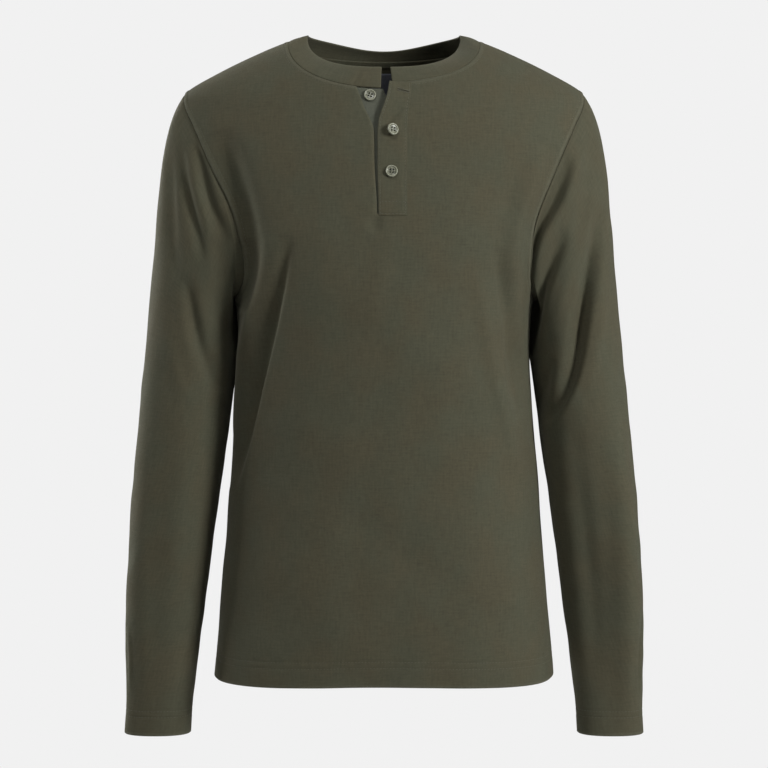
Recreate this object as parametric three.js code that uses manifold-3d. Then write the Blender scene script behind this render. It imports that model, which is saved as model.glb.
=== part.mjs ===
// Long-sleeved henley shirt, filled out as if worn, with no wearer inside.
// Millimetres, +Z up, +X to the wearer's left, the front faces -Y.
// The origin is on the centre line, level with the high points of the neckband at the shoulders.
import * as THREE from "three";
import { mergeVertices } from "three/addons/utils/BufferGeometryUtils.js";
import Module from "manifold-3d";

const wasm = await Module();
wasm.setup();

// Driving dimensions
const CLOTH = 1.5; // wall of the jersey
const BAND_CLOTH = 1.4; // wall of the placket bands
const BAND_CLOTH_NECK = 1.6; // wall of the neckband
const TRIM = 1.0; // wall of the neck tape and the label
const SEAM_GAP = 0.3; // air between two pieces that are sewn together
const LAYER_GAP = 0.35; // air between two pieces that lie on each other
const CHORD_ROOM = 0.3; // extra air where a finely divided piece lies on a coarsely divided one
const HEM_Z = -684;
const HEM_DIP = 2.5; // the hem hangs this much lower between the centre and the side seams

// Body sections from the shoulders to the hem: half width, depth in front and behind, squareness
const BODY_SECTIONS = [
  { z: -7.5, side: 102, front: 54, back: 50, square: 2 },
  { z: -20, side: 132, front: 68, back: 65, square: 2 },
  { z: -44, side: 181, front: 84.5, back: 82.5, square: 2.05 },
  { z: -64, side: 214, front: 94.5, back: 93, square: 2.1 },
  { z: -78, side: 226, front: 99.5, back: 97, square: 2.15 },
  { z: -95, side: 228.5, front: 104, back: 101, square: 2.2 },
  { z: -120, side: 226, front: 110, back: 106, square: 2.3 },
  { z: -150, side: 216, front: 115.5, back: 110, square: 2.37 },
  { z: -180, side: 202.5, front: 120, back: 112.5, square: 2.42 },
  { z: -210, side: 188, front: 124, back: 114, square: 2.45 },
  { z: -240, side: 175, front: 126.7, back: 114, square: 2.49 },
  { z: -265, side: 166, front: 128, back: 113, square: 2.5 },
  { z: -285, side: 160.5, front: 128.5, back: 111, square: 2.5 },
  { z: -310, side: 157, front: 128, back: 107.5, square: 2.5 },
  { z: -340, side: 156, front: 127, back: 104, square: 2.5 },
  { z: -437, side: 162, front: 121.5, back: 97, square: 2.6 },
  { z: -523, side: 168.2, front: 119, back: 99, square: 2.7 },
  { z: -610, side: 175, front: 121, back: 107, square: 2.85 },
  { z: -684, side: 181, front: 125, back: 114, square: 3 },
];

// Neck seam: half width and level at the shoulders, and how far it drops below that at the centre
const NECK_HALF_WIDTH = 102;
const NECK_SHOULDER_Z = -7.5;
const NECK_DROP_WEARER_LEFT = 58;
const NECK_DROP_WEARER_RIGHT = 64; // this side hangs open below the free top button
const NECK_DROP_BACK = 12.1;
const NECK_FRONT_SQUARE = 0.76; // under 1 the front of the neck is wider and squarer than an oval

// Upper edge of the neckband. square is for the front; behind, the edge dips in a soft curve
const BAND_TOP = { halfWidth: 82.5, front: 82, back: 54, frontDrop: 47.6, backDrop: 8.4, square: 2.4 };
const BAND_BULGE = 1.2; // the band is this much rounded between its edges
const BAND_END_WEARER_LEFT = 8.2; // x of the two front ends
const BAND_END_WEARER_RIGHT = -3.1;

// Armhole seam from the shoulder tip to the underarm: x where it crosses the front and the back
const ARMHOLE = [
  { z: -64, front: 214, back: 214 },
  { z: -80, front: 212, back: 213.5 },
  { z: -105, front: 201, back: 204.5 },
  { z: -133, front: 188.5, back: 194 },
  { z: -162, front: 176, back: 184 },
  { z: -190, front: 164.5, back: 174 },
  { z: -216, front: 157, back: 166.5 },
  { z: -240, front: 153.5, back: 162 },
  { z: -260, front: 153, back: 160 },
  { z: -274, front: 155, back: 159.5 },
  { z: -282.5, front: 158.2, back: 160.2 },
  { z: -284.5, front: 160.2, back: 160.45 },
  { z: -285, front: 160.5, back: 160.5 },
];

// Sleeve sections from the armhole to the cuff: outer and inner edge, and how far front and back
// lie from the plane y = 0. seam is how much of the armhole's own line is still in the section.
const SLEEVE_SECTIONS = [
  { outX: 214, outZ: -64, inX: 160.5, inZ: -285, front: -78, back: 65, seam: 1 },
  { outX: 217.5, outZ: -70, inX: 161.3, inZ: -286.2, front: -77.5, back: 65, seam: 0.97 },
  { outX: 222.5, outZ: -79, inX: 160.9, inZ: -290, front: -77, back: 65, seam: 0.92 },
  { outX: 228, outZ: -93, inX: 159.8, inZ: -296, front: -76.5, back: 65, seam: 0.83 },
  { outX: 233.5, outZ: -115, inX: 158.6, inZ: -303, front: -76, back: 65.5, seam: 0.69 },
  { outX: 239, outZ: -152, inX: 157.8, inZ: -311, front: -74.5, back: 66, seam: 0.48 },
  { outX: 243.8, outZ: -200, inX: 157.3, inZ: -320, front: -72, back: 67, seam: 0.26 },
  { outX: 248.3, outZ: -250, inX: 156.9, inZ: -331, front: -70, back: 67.5, seam: 0.1 },
  { outX: 252.7, outZ: -300, inX: 156.8, inZ: -343, front: -68.5, back: 67, seam: 0.02 },
  { outX: 257, outZ: -346, inX: 158.7, inZ: -356, front: -68, back: 65, seam: 0 },
  { outX: 261, outZ: -392, inX: 164, inZ: -397, front: -68.5, back: 60, seam: 0 },
  { outX: 264.5, outZ: -436, inX: 168.7, inZ: -439, front: -69, back: 53, seam: 0 },
  { outX: 270.8, outZ: -522, inX: 180, inZ: -523, front: -69, back: 36, seam: 0 },
  { outX: 274.6, outZ: -608, inX: 191.1, inZ: -608, front: -66, back: 18, seam: 0 },
  { outX: 274.3, outZ: -692, inX: 201, inZ: -692, front: -62.5, back: 0.5, seam: 0 },
  { outX: 273.6, outZ: -713, inX: 203.2, inZ: -713, front: -61.5, back: -4, seam: 0 },
  { outX: 275.2, outZ: -745, inX: 204.9, inZ: -745, front: -62, back: -8, seam: 0 },
];
const SLEEVE_SQUARE = 2.25;

// Placket bands, x of their edges down the front, wearer's left half over the right half
const PLACKET_TOP_GAP = 0.4;
const PLACKET_BOTTOM_Z = -205.4;
const OVER_BAND = [
  { z: -59, left: 7.2, right: 28.5, lift: 3.2 },
  { z: -77, left: 4.6, right: 27.5, lift: 3.2 },
  { z: -92, left: 0, right: 25.4, lift: 3 },
  { z: -106, left: -4.6, right: 23.8, lift: 2.2 },
  { z: -121, left: -5.9, right: 23.4, lift: 1.2 },
  { z: -149, left: -6.1, right: 23.4, lift: 0.4 },
  { z: -180, left: -5.5, right: 23.4, lift: 0.1 },
  { z: -205.4, left: -5, right: 23.4, lift: 0 },
];
const UNDER_BAND = [
  { z: -59, left: -34, right: -4 },
  { z: -72, left: -30, right: -1.5 },
  { z: -92, left: -22.5, right: 7.5 },
  { z: -118, left: -13, right: 17 },
  { z: -150, left: -12.2, right: 18.5 },
  { z: -205.4, left: -11, right: 19.5 },
];
// Edges of the slit in the front that the bands close
const SLIT = [
  { z: -59, left: -32.4, right: 22 },
  { z: -71, left: -28, right: 22 },
  { z: -92, left: -20.2, right: 21 },
  { z: -118, left: -10.2, right: 20.6 },
  { z: -150, left: -9.7, right: 20.6 },
  { z: -203.5, left: -7, right: 20.6 },
  { z: -684, left: -7, right: 20.6 },
];
const SLIT_END_Z = -203.5;

// Four-hole buttons
const BUTTON = { radius: 6.2, rimHeight: 2.6, dishHeight: 1.8, rimWidth: 1.5, hole: 0.75, holeRing: 2 };
const BUTTON_PLACES = [
  { name: "button_top", x: -14.4, z: -79.2, turn: 0, seat: "under" },
  { name: "button_middle", x: 8.4, z: -117.2, turn: 34, seat: "over" },
  { name: "button_bottom", x: 7.7, z: -160, turn: 0, seat: "over" },
];

// Neck tape over the back neck seam and the bare label below it
const TAPE_BELOW_SEAM = 4;
const TAPE_ABOVE_SEAM = 3.2;
const LABEL = { halfWidth: 19, top: -29, bottom: -62 };

// Folds: a line down the front or the back of a piece, its height (negative is a trough) and width.
// x is counted on the wearer's own side of the piece.
const BODY_FOLDS = [
  {
    face: "front", height: -8, width: 10,
    line: [[-90, -215], [-107.6, -294], [-128.4, -371], [-147.4, -455], [-160, -495]],
  },
  { face: "front", height: 4.5, width: 11, line: [[-114, -232], [-130, -300], [-142, -345], [-153, -400]] },
  {
    face: "front", height: -3.5, width: 9,
    line: [[116, -236], [124, -281], [129.5, -313], [136.2, -363], [143, -415]],
  },
  { face: "front", height: 2.5, width: 10, line: [[133, -255], [141, -310], [146, -370], [152, -440]] },
  { face: "front", height: 1.8, width: 11, line: [[101, -250], [108, -310], [117, -370], [126, -430]] },
  { face: "front", height: -1.6, width: 6, line: [[-7.5, -206], [-8.5, -214], [-11.5, -224]] },
  { face: "back", height: -5, width: 11, line: [[-104, -250], [-114, -320], [-128, -390], [-146, -470]] },
  { face: "back", height: -4, width: 10, line: [[110, -240], [121, -300], [132, -360], [148, -450]] },
  { face: "back", height: 3, width: 13, line: [[-128, -270], [-137, -340], [-148, -410]] },
  { face: "back", height: 2.2, width: 24, line: [[60, -470], [20, -490], [-30, -480], [-70, -500]] },
];
const SLEEVE_RIGHT_FOLDS = [
  { face: "front", height: -2.6, width: 9, line: [[189.6, -136], [183.3, -174], [175, -201], [163.4, -225]] },
  {
    face: "front", height: -2.6, width: 8,
    line: [[211, -130], [209.5, -164], [197.9, -191], [190.7, -225], [188, -236]],
  },
  { face: "front", height: -1.6, width: 8, line: [[223, -130], [223, -184], [224, -211]] },
  {
    face: "front", height: -3.5, width: 9,
    line: [[200, -286], [193.8, -320], [183.3, -343], [170.2, -371], [163.4, -385]],
  },
  { face: "back", height: -4, width: 11, line: [[196, -170], [189, -215], [182, -262], [176, -305]] },
  { face: "back", height: -3, width: 10, line: [[232, -250], [222, -300], [206, -348], [186, -384]] },
  { face: "back", height: -2.5, width: 11, line: [[250, -430], [232, -462], [206, -486]] },
];
const SLEEVE_LEFT_FOLDS = [
  {
    face: "front", height: -5.5, width: 8,
    line: [[190.7, -173], [182.3, -193], [173.9, -208], [165.5, -221], [159.3, -247], [155, -266]],
  },
  {
    face: "front", height: -6.5, width: 10,
    line: [[188.6, -233], [179.2, -250], [172.4, -276], [163.4, -305], [159.5, -336]],
  },
  { face: "front", height: 3, width: 10, line: [[203, -236], [195, -262], [188, -292], [180, -325]] },
  {
    face: "front", height: -5, width: 9,
    line: [[227.4, -227], [218.9, -276], [209.5, -337], [201.2, -372], [187.5, -402], [169.8, -426]],
  },
  { face: "front", height: 2.2, width: 9, line: [[239, -211], [233.6, -256], [228.4, -297], [224, -340]] },
  { face: "front", height: -2, width: 7, line: [[172, -367], [165.4, -391]] },
  { face: "back", height: -5, width: 10, line: [[200, -165], [191, -205], [184, -255], [178, -300]] },
  { face: "back", height: -3.5, width: 11, line: [[236, -240], [226, -292], [210, -345], [190, -390]] },
  { face: "back", height: -2.5, width: 11, line: [[252, -440], [236, -470], [212, -492]] },
];

// How finely each piece is divided
const COLUMNS_SIDE = [0, 0.1, 0.19, 0.27, 0.33, 0.39, 0.45, 0.51, 0.57, 0.63, 0.69, 0.76, 0.84, 0.92, 1];
const RELAXING_PASSES = 14; // times that a panel's grid is evened out
const ROWS_SHOULDER = 4;
const ROWS_BELOW_ARM = 12;
const SHOULDER_ROWS_DEPTH = 40; // how deep the shoulder's rows reach at the centre line
const UNDERARM_ROW_Z = -300; // where the underarm's row crosses the centre line
const SLEEVE_RINGS = 26;
const BAND_ROWS = 3;
const BUTTON_SIDES = 20;
const BUTTON_HOLE_SIDES = 6;

const HALF_TURN = Math.PI;
const QUARTER_TURN = Math.PI / 2;

// Smooth monotone curve through a table's column
function fromTable(table, key, column, at) {
  const xs = table.map((row) => row[key]);
  const ys = table.map((row) => row[column]);
  const rising = xs[xs.length - 1] > xs[0];
  const before = (a, b) => (rising ? a <= b : a >= b);
  if (before(at, xs[0])) return ys[0];
  const last = xs.length - 1;
  if (before(xs[last], at)) return ys[last];
  let k = 0;
  while (!before(at, xs[k + 1])) k += 1;
  const slope = (i) => (ys[i + 1] - ys[i]) / (xs[i + 1] - xs[i]);
  const tangent = (i) => {
    if (i === 0 || i === last) return slope(Math.min(i, last - 1));
    const [m0, m1] = [slope(i - 1), slope(i)];
    return m0 * m1 <= 0 ? 0 : (2 * m0 * m1) / (m0 + m1);
  };
  const h = xs[k + 1] - xs[k];
  const t = (at - xs[k]) / h;
  const [t2, t3] = [t * t, t * t * t];
  return (
    ys[k] * (2 * t3 - 3 * t2 + 1) +
    tangent(k) * h * (t3 - 2 * t2 + t) +
    ys[k + 1] * (3 * t2 - 2 * t3) +
    tangent(k + 1) * h * (t3 - t2)
  );
}

const mix = (a, b, t) => a + (b - a) * t;
const smooth = (t) => {
  const c = Math.min(1, Math.max(0, t));
  return c * c * (3 - 2 * c);
};

// Distance from a point to a fold's line, and how far along the line the nearest place is, 0 to 1
function nearestOnLine(line, x, z) {
  const lengths = line.slice(1).map(([bx, bz], i) => Math.hypot(bx - line[i][0], bz - line[i][1]));
  const whole = lengths.reduce((a, b) => a + b, 0);
  let best = { distance: Infinity, along: 0 };
  let before = 0;
  lengths.forEach((length, i) => {
    const [ax, az] = line[i];
    const [dx, dz] = [line[i + 1][0] - ax, line[i + 1][1] - az];
    const t = Math.min(1, Math.max(0, ((x - ax) * dx + (z - az) * dz) / (length * length)));
    const distance = Math.hypot(x - ax - t * dx, z - az - t * dz);
    if (distance < best.distance) best = { distance, along: (before + t * length) / whole };
    before += length;
  });
  return best;
}

// Sum of the folds at a point of one face, fading out at both ends of each line
function foldHeight(folds, face, x, z) {
  return folds
    .filter((fold) => fold.face === face)
    .reduce((sum, fold) => {
      const { distance, along } = nearestOnLine(fold.line, x, z);
      const fade = Math.sqrt(Math.max(0, Math.sin(HALF_TURN * Math.min(0.98, Math.max(0.02, along)))));
      return sum + fold.height * fade * Math.exp(-((distance / fold.width) ** 2));
    }, 0);
}

// Body surface: turn is 0 at the centre front, a quarter turn at the wearer's left side seam
function bodyPoint(turn, z) {
  const square = fromTable(BODY_SECTIONS, "z", "square", z);
  const side = fromTable(BODY_SECTIONS, "z", "side", z);
  const depth = fromTable(BODY_SECTIONS, "z", Math.cos(turn) >= 0 ? "front" : "back", z);
  const [s, c] = [Math.sin(turn), Math.cos(turn)];
  const reach = (Math.abs(s) ** square + Math.abs(c) ** square) ** (-1 / square);
  return new THREE.Vector3(side * s * reach, -depth * c * reach, z);
}

// Turn at which the front (or back) of the body has a given x at a given height
function turnAt(x, z, face = "front") {
  const square = fromTable(BODY_SECTIONS, "z", "square", z);
  const share = Math.min(1, Math.abs(x) / fromTable(BODY_SECTIONS, "z", "side", z));
  const turn = Math.atan2(share, (1 - share ** square) ** (1 / square));
  return Math.sign(x || 1) * (face === "front" ? turn : HALF_TURN - turn);
}

function bodyNormal(turn, z) {
  const [dTurn, dZ] = [0.01, 0.6];
  const across = bodyPoint(turn + dTurn, z).sub(bodyPoint(turn - dTurn, z));
  const up = bodyPoint(turn, z + dZ).sub(bodyPoint(turn, z - dZ));
  return across.cross(up).normalize();
}

// Point of the body cloth, lifted out by a distance from the outer face of the panels
function bodyCloth(turn, z, lift = 0) {
  const base = bodyPoint(turn, z);
  const face = Math.cos(turn) >= 0 ? "front" : "back";
  const clearOfSeam = smooth(Math.abs(Math.cos(turn)) / 0.25);
  const fold = foldHeight(BODY_FOLDS, face, base.x, z) * clearOfSeam;
  return base.addScaledVector(bodyNormal(turn, z), fold + lift);
}

const hemZ = (turn) => HEM_Z - HEM_DIP * Math.sin(2 * turn) ** 2;

// Places on the neck seam: turn about the neck's own centre, 0 at the front
function neckSeam(angle) {
  const [s, c] = [Math.sin(angle), Math.cos(angle)];
  const frontDrop = s >= 0 ? NECK_DROP_WEARER_LEFT : NECK_DROP_WEARER_RIGHT;
  const x = NECK_HALF_WIDTH * s;
  const drop = c >= 0 ? frontDrop * c ** NECK_FRONT_SQUARE : NECK_DROP_BACK * -c;
  const z = NECK_SHOULDER_Z - drop;
  return { turn: turnAt(x, z, c >= 0 ? "front" : "back"), z };
}

const neckAngle = (x) => Math.asin(x / NECK_HALF_WIDTH);

// Places on the armhole seam by row of its table
function armholeSeam(row, face) {
  const { z } = ARMHOLE[row];
  return { turn: turnAt(ARMHOLE[row][face], z, face), z };
}

// Down one side of a body panel: shoulder seam, armhole, side seam
function panelEdge(face) {
  const edge = [];
  for (let i = 0; i < ROWS_SHOULDER; i += 1) {
    const z = mix(NECK_SHOULDER_Z, ARMHOLE[0].z, i / ROWS_SHOULDER);
    edge.push({ turn: QUARTER_TURN, z });
  }
  ARMHOLE.forEach((row, i) => edge.push(armholeSeam(i, face)));
  edge[ROWS_SHOULDER].turn = QUARTER_TURN;
  edge[edge.length - 1].turn = QUARTER_TURN;
  const underarm = ARMHOLE[ARMHOLE.length - 1].z;
  for (let i = 1; i <= ROWS_BELOW_ARM; i += 1) {
    edge.push({ turn: QUARTER_TURN, z: mix(underarm, HEM_Z, i / ROWS_BELOW_ARM) });
  }
  return edge;
}

// Heights of a panel's rows along its centre line, from its top to the hem
function centreRows(top, slitEnd) {
  const rows = panelEdge("front").length - 1;
  const armholeEnd = ROWS_SHOULDER + ARMHOLE.length - 1;
  const shoulderZ = top - SHOULDER_ROWS_DEPTH;
  const underarmZ = UNDERARM_ROW_Z;
  const heights = [];
  for (let i = 0; i <= rows; i += 1) {
    if (i <= ROWS_SHOULDER) heights.push(mix(top, shoulderZ, i / ROWS_SHOULDER));
    else if (i <= armholeEnd) {
      heights.push(mix(shoulderZ, underarmZ, (i - ROWS_SHOULDER) / (armholeEnd - ROWS_SHOULDER)));
    } else heights.push(mix(underarmZ, HEM_Z, (i - armholeEnd) / (rows - armholeEnd)));
  }
  if (slitEnd === undefined) return heights;
  const away = (i) => Math.abs(heights[i] - slitEnd);
  const nearest = heights.reduce((best, _, i) => (away(i) < away(best) ? i : best), 0);
  heights[nearest] = slitEnd;
  return heights;
}

// Grid between four edges, each a list of places on the body surface
function fillBetween(top, bottom, inner, outer, columns) {
  const rows = inner.length - 1;
  return inner.map((left, i) => {
    const t = i / rows;
    const right = outer[i];
    return columns.map((s, j) => {
      const place = {};
      for (const key of ["turn", "z"]) {
        const edges = mix(top[j][key], bottom[j][key], t) + mix(left[key], right[key], s);
        const nearCorners = mix(top[0][key], bottom[0][key], t);
        const farCorners = mix(top.at(-1)[key], bottom.at(-1)[key], t);
        place[key] = edges - mix(nearCorners, farCorners, s);
      }
      return place;
    });
  });
}

// Inner places of a grid drawn towards the middle of their neighbours, so that cells are less skewed
function relaxed(grid, passes) {
  let places = grid;
  for (let pass = 0; pass < passes; pass += 1) {
    const before = places;
    places = before.map((row, i) =>
      row.map((place, j) => {
        if (i === 0 || j === 0 || i === before.length - 1 || j === row.length - 1) return place;
        const around = [before[i - 1][j], before[i + 1][j], row[j - 1], row[j + 1]];
        const mean = (key) => around.reduce((sum, near) => sum + near[key], 0) / around.length;
        return { turn: mean("turn"), z: mean("z") };
      }),
    );
  }
  return places;
}

const mirrored = (place) => ({ turn: -place.turn, z: place.z });

// Half of the front, from the slit's edge to the side, on the wearer's left (side 1) or right (-1)
function frontHalf(side) {
  const slitEdge = (z) => fromTable(SLIT, "z", side > 0 ? "right" : "left", z);
  let startX = slitEdge(-66);
  const startAngle = () => neckAngle(startX);
  for (let i = 0; i < 4; i += 1) startX = slitEdge(neckSeam(startAngle()).z);
  const top = COLUMNS_SIDE.map((s) => neckSeam(mix(startAngle(), side * QUARTER_TURN, s ** 0.8)));
  const outer = panelEdge("front").map((place) => (side > 0 ? place : mirrored(place)));
  const inner = centreRows(top[0].z, SLIT_END_Z).map((z) => ({ turn: turnAt(slitEdge(z), z), z }));
  const last = inner[inner.length - 1];
  const bottom = COLUMNS_SIDE.map((s) => {
    const turn = mix(last.turn, side * QUARTER_TURN, s);
    return { turn, z: hemZ(turn) };
  });
  inner[inner.length - 1] = bottom[0];
  return relaxed(fillBetween(top, bottom, inner, outer, COLUMNS_SIDE), RELAXING_PASSES);
}

// A wall between an outer and an inner grid of points. Cells that present() leaves out stay open.
function wall(outer, inner, { closed = false, present = () => true } = {}) {
  const rows = outer.length;
  const columns = outer[0].length;
  const positions = [];
  for (const grid of [outer, inner]) {
    for (const row of grid) {
      for (const p of row) positions.push(p.x, p.y, p.z);
    }
  }
  const at = (layer, i, j) => layer * rows * columns + i * columns + (j % columns);
  const cellColumns = closed ? columns : columns - 1;
  const has = (i, j) => {
    if (i < 0 || i >= rows - 1) return false;
    if (!closed && (j < 0 || j >= cellColumns)) return false;
    return present(i, (j + cellColumns) % cellColumns);
  };
  const index = [];
  const quad = (a, b, c, d) => index.push(a, b, c, a, c, d);
  // A cell of the outer face, cut along its shorter diagonal, and the same cell of the inner face
  const cell = (i, j) => {
    const corners = [[i, j], [i + 1, j], [i + 1, j + 1], [i, j + 1]];
    const point = ([row, column]) => outer[row][column % columns];
    const across = (a, b) => point(corners[a]).distanceTo(point(corners[b]));
    const turned = across(1, 3) < across(0, 2);
    const [a, b, c, d] = turned ? [...corners.slice(1), corners[0]] : corners;
    quad(at(0, ...a), at(0, ...b), at(0, ...c), at(0, ...d));
    quad(at(1, ...a), at(1, ...d), at(1, ...c), at(1, ...b));
  };
  for (let i = 0; i < rows - 1; i += 1) {
    for (let j = 0; j < cellColumns; j += 1) {
      if (!has(i, j)) continue;
      cell(i, j);
      if (!has(i - 1, j)) quad(at(0, i, j + 1), at(1, i, j + 1), at(1, i, j), at(0, i, j));
      if (!has(i + 1, j)) quad(at(0, i + 1, j), at(1, i + 1, j), at(1, i + 1, j + 1), at(0, i + 1, j + 1));
      if (!has(i, j - 1)) quad(at(0, i, j), at(1, i, j), at(1, i + 1, j), at(0, i + 1, j));
      if (!has(i, j + 1)) quad(at(0, i + 1, j + 1), at(1, i + 1, j + 1), at(1, i, j + 1), at(0, i, j + 1));
    }
  }
  let geometry = new THREE.BufferGeometry();
  geometry.setAttribute("position", new THREE.Float32BufferAttribute(positions, 3));
  geometry.setIndex(index);
  geometry = mergeVertices(geometry, 1e-4);
  return signedVolume(geometry) < 0 ? turnedInsideOut(geometry) : geometry;
}

function signedVolume(geometry) {
  const p = geometry.attributes.position;
  const [a, b, c] = [new THREE.Vector3(), new THREE.Vector3(), new THREE.Vector3()];
  let volume = 0;
  for (let i = 0; i < geometry.index.count; i += 3) {
    a.fromBufferAttribute(p, geometry.index.getX(i));
    b.fromBufferAttribute(p, geometry.index.getX(i + 1));
    c.fromBufferAttribute(p, geometry.index.getX(i + 2));
    volume += a.dot(b.cross(c)) / 6;
  }
  return volume;
}

function turnedInsideOut(geometry) {
  const { array } = geometry.index;
  for (let i = 0; i < array.length; i += 3) [array[i], array[i + 1]] = [array[i + 1], array[i]];
  return geometry;
}

// Body panels: places on the surface become an outer and an inner face, and edges that lie on the
// side planes step back by half a seam gap.
function panelFaces(places, face) {
  const stepBack = (face === "front" ? -1 : 1) * SEAM_GAP / 2;
  return [0, -CLOTH].map((lift) =>
    places.map((row) =>
      row.map(({ turn, z }) => {
        const point = bodyCloth(turn, z, lift);
        if (Math.abs(Math.abs(turn) - QUARTER_TURN) < 1e-6) point.y = stepBack;
        return point;
      }),
    ),
  );
}

function frontPlaces() {
  const right = frontHalf(-1);
  const left = frontHalf(1);
  return left.map((row, i) => {
    const far = right[i].slice().reverse();
    const [a, b] = [far[far.length - 1], row[0]];
    const middle = { turn: (a.turn + b.turn) / 2, z: (a.z + b.z) / 2 };
    return [...far, middle, ...row];
  });
}

function frontBody() {
  const places = frontPlaces();
  const slitColumn = COLUMNS_SIDE.length - 1;
  const slitRows = frontHalf(1).findIndex((row) => Math.abs(row[0].z - SLIT_END_Z) < 1e-6);
  const [outer, inner] = panelFaces(places, "front");
  const inSlit = (i, j) => i < slitRows && j >= slitColumn && j < slitColumn + 2;
  return wall(outer, inner, { present: (i, j) => !inSlit(i, j) });
}

const BACK_COLUMNS = 8; // on each side of the centre

// Half of the back from the centre to the side seam
function backHalf() {
  const columns = Array.from({ length: BACK_COLUMNS + 1 }, (_, j) => j / BACK_COLUMNS);
  const top = columns.map((s) => neckSeam(mix(HALF_TURN, QUARTER_TURN, s)));
  top[0] = { turn: HALF_TURN, z: NECK_SHOULDER_Z - NECK_DROP_BACK };
  const outer = panelEdge("back");
  const inner = centreRows(top[0].z).map((z) => ({ turn: HALF_TURN, z }));
  const bottom = columns.map((s) => {
    const turn = mix(HALF_TURN, QUARTER_TURN, s);
    return { turn, z: hemZ(turn) };
  });
  return relaxed(fillBetween(top, bottom, inner, outer, columns), RELAXING_PASSES);
}

function backPlaces() {
  return backHalf().map((row) => [...row.slice(1).reverse(), ...row.map(mirrored)]);
}

function backBody() {
  const [outer, inner] = panelFaces(backPlaces(), "back");
  return wall(outer, inner);
}

// Armhole line around the wearer's left sleeve: down the front, up the back, as places on the body
function armholeRound() {
  const rows = ARMHOLE.length;
  const front = ARMHOLE.map((row, i) => armholeSeam(i, "front"));
  const back = ARMHOLE.map((row, i) => armholeSeam(i, "back"));
  for (const line of [front, back]) {
    line[0].turn = QUARTER_TURN;
    line[rows - 1].turn = QUARTER_TURN;
  }
  return [...front, ...back.slice(1, -1).reverse()];
}

// First ring of a sleeve: the panels' own edge, moved a seam gap away from them
function sleeveStart(side, lift) {
  const round = armholeRound().map((place) => (side > 0 ? place : mirrored(place)));
  const points = round.map(({ turn, z }) => bodyCloth(turn, z, lift));
  const count = points.length;
  return points.map((point, i) => {
    const along = round[(i + 1) % count];
    const before = round[(i + count - 1) % count];
    const tangent = bodyPoint(along.turn, along.z).sub(bodyPoint(before.turn, before.z)).normalize();
    const away = bodyNormal(round[i].turn, round[i].z).cross(tangent).multiplyScalar(side).normalize();
    return point.clone().addScaledVector(away, SEAM_GAP);
  });
}

// Share of the way round a sleeve at each column, 0 at the top, half at the underarm
function sleeveTurns() {
  const points = armholeRound().map(({ turn, z }) => bodyPoint(turn, z));
  const half = ARMHOLE.length - 1;
  const count = points.length;
  const lengths = points.map((p, i) => p.distanceTo(points[(i + 1) % count]));
  const sum = (from, to) => lengths.slice(from, to).reduce((a, b) => a + b, 0);
  return points.map((_, i) =>
    i <= half ? (HALF_TURN * sum(0, i)) / sum(0, half) : HALF_TURN * (1 + sum(half, i) / sum(half, count)),
  );
}

function sleeveSection(at, turn) {
  const table = SLEEVE_SECTIONS.map((row, i) => ({ ...row, at: i }));
  const value = (column) => fromTable(table, "at", column, at);
  const [c, s] = [Math.cos(turn), Math.sin(turn)];
  const reach = (Math.abs(c) ** SLEEVE_SQUARE + Math.abs(s) ** SLEEVE_SQUARE) ** (-1 / SLEEVE_SQUARE);
  const middleY = (value("front") + value("back")) / 2;
  const halfY = (value("back") - value("front")) / 2;
  return {
    point: new THREE.Vector3(
      (value("outX") + value("inX")) / 2 + ((value("outX") - value("inX")) / 2) * c * reach,
      middleY - halfY * s * reach,
      (value("outZ") + value("inZ")) / 2 + ((value("outZ") - value("inZ")) / 2) * c * reach,
    ),
    seam: value("seam"),
  };
}

function sleeve(side, folds) {
  const turns = sleeveTurns();
  const count = turns.length;
  const start = armholeRound().map(({ turn, z }) => bodyPoint(turn, z));
  const away = start.map((p, i) => p.clone().sub(sleeveSection(0, turns[i]).point));
  const lastSection = SLEEVE_SECTIONS.length - 1;
  const rings = Array.from({ length: SLEEVE_RINGS + 1 }, (_, k) => {
    const at = (lastSection * k) / SLEEVE_RINGS;
    return turns.map((turn, i) => {
      const { point, seam } = sleeveSection(at, turn);
      return point.addScaledVector(away[i], seam);
    });
  });
  const normal = (k, i) => {
    const [k0, k1] = [Math.max(0, k - 1), Math.min(SLEEVE_RINGS, k + 1)];
    const round = rings[k][(i + 1) % count].clone().sub(rings[k][(i + count - 1) % count]);
    const down = rings[k1][i].clone().sub(rings[k0][i]);
    return round.cross(down).normalize();
  };
  const layer = (lift) =>
    rings.map((ring, k) => {
      if (k === 0) return sleeveStart(side, lift);
      return ring.map((point, i) => {
        const face = Math.sin(turns[i]) >= 0 ? "front" : "back";
        const clearOfSides = smooth(Math.abs(Math.sin(turns[i])) / 0.3) * smooth(k / 3);
        const fold = foldHeight(folds, face, point.x, point.z) * clearOfSides;
        const moved = point.clone().addScaledVector(normal(k, i), fold + lift);
        return new THREE.Vector3(side * moved.x, moved.y, moved.z);
      });
    });
  return wall(layer(0), layer(-CLOTH), { closed: true });
}

// Neckband: from the neck seam up to its own edge, open at the centre front
function bandColumns() {
  const left = frontHalf(1)[0];
  const right = frontHalf(-1)[0];
  const backRow = backPlaces()[0];
  const ends = [BAND_END_WEARER_LEFT, BAND_END_WEARER_RIGHT].map((x) => neckSeam(neckAngle(x)));
  return [ends[0], ...left, ...backRow.slice(1), ...right.slice(0, -1).reverse(), ends[1]];
}

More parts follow.
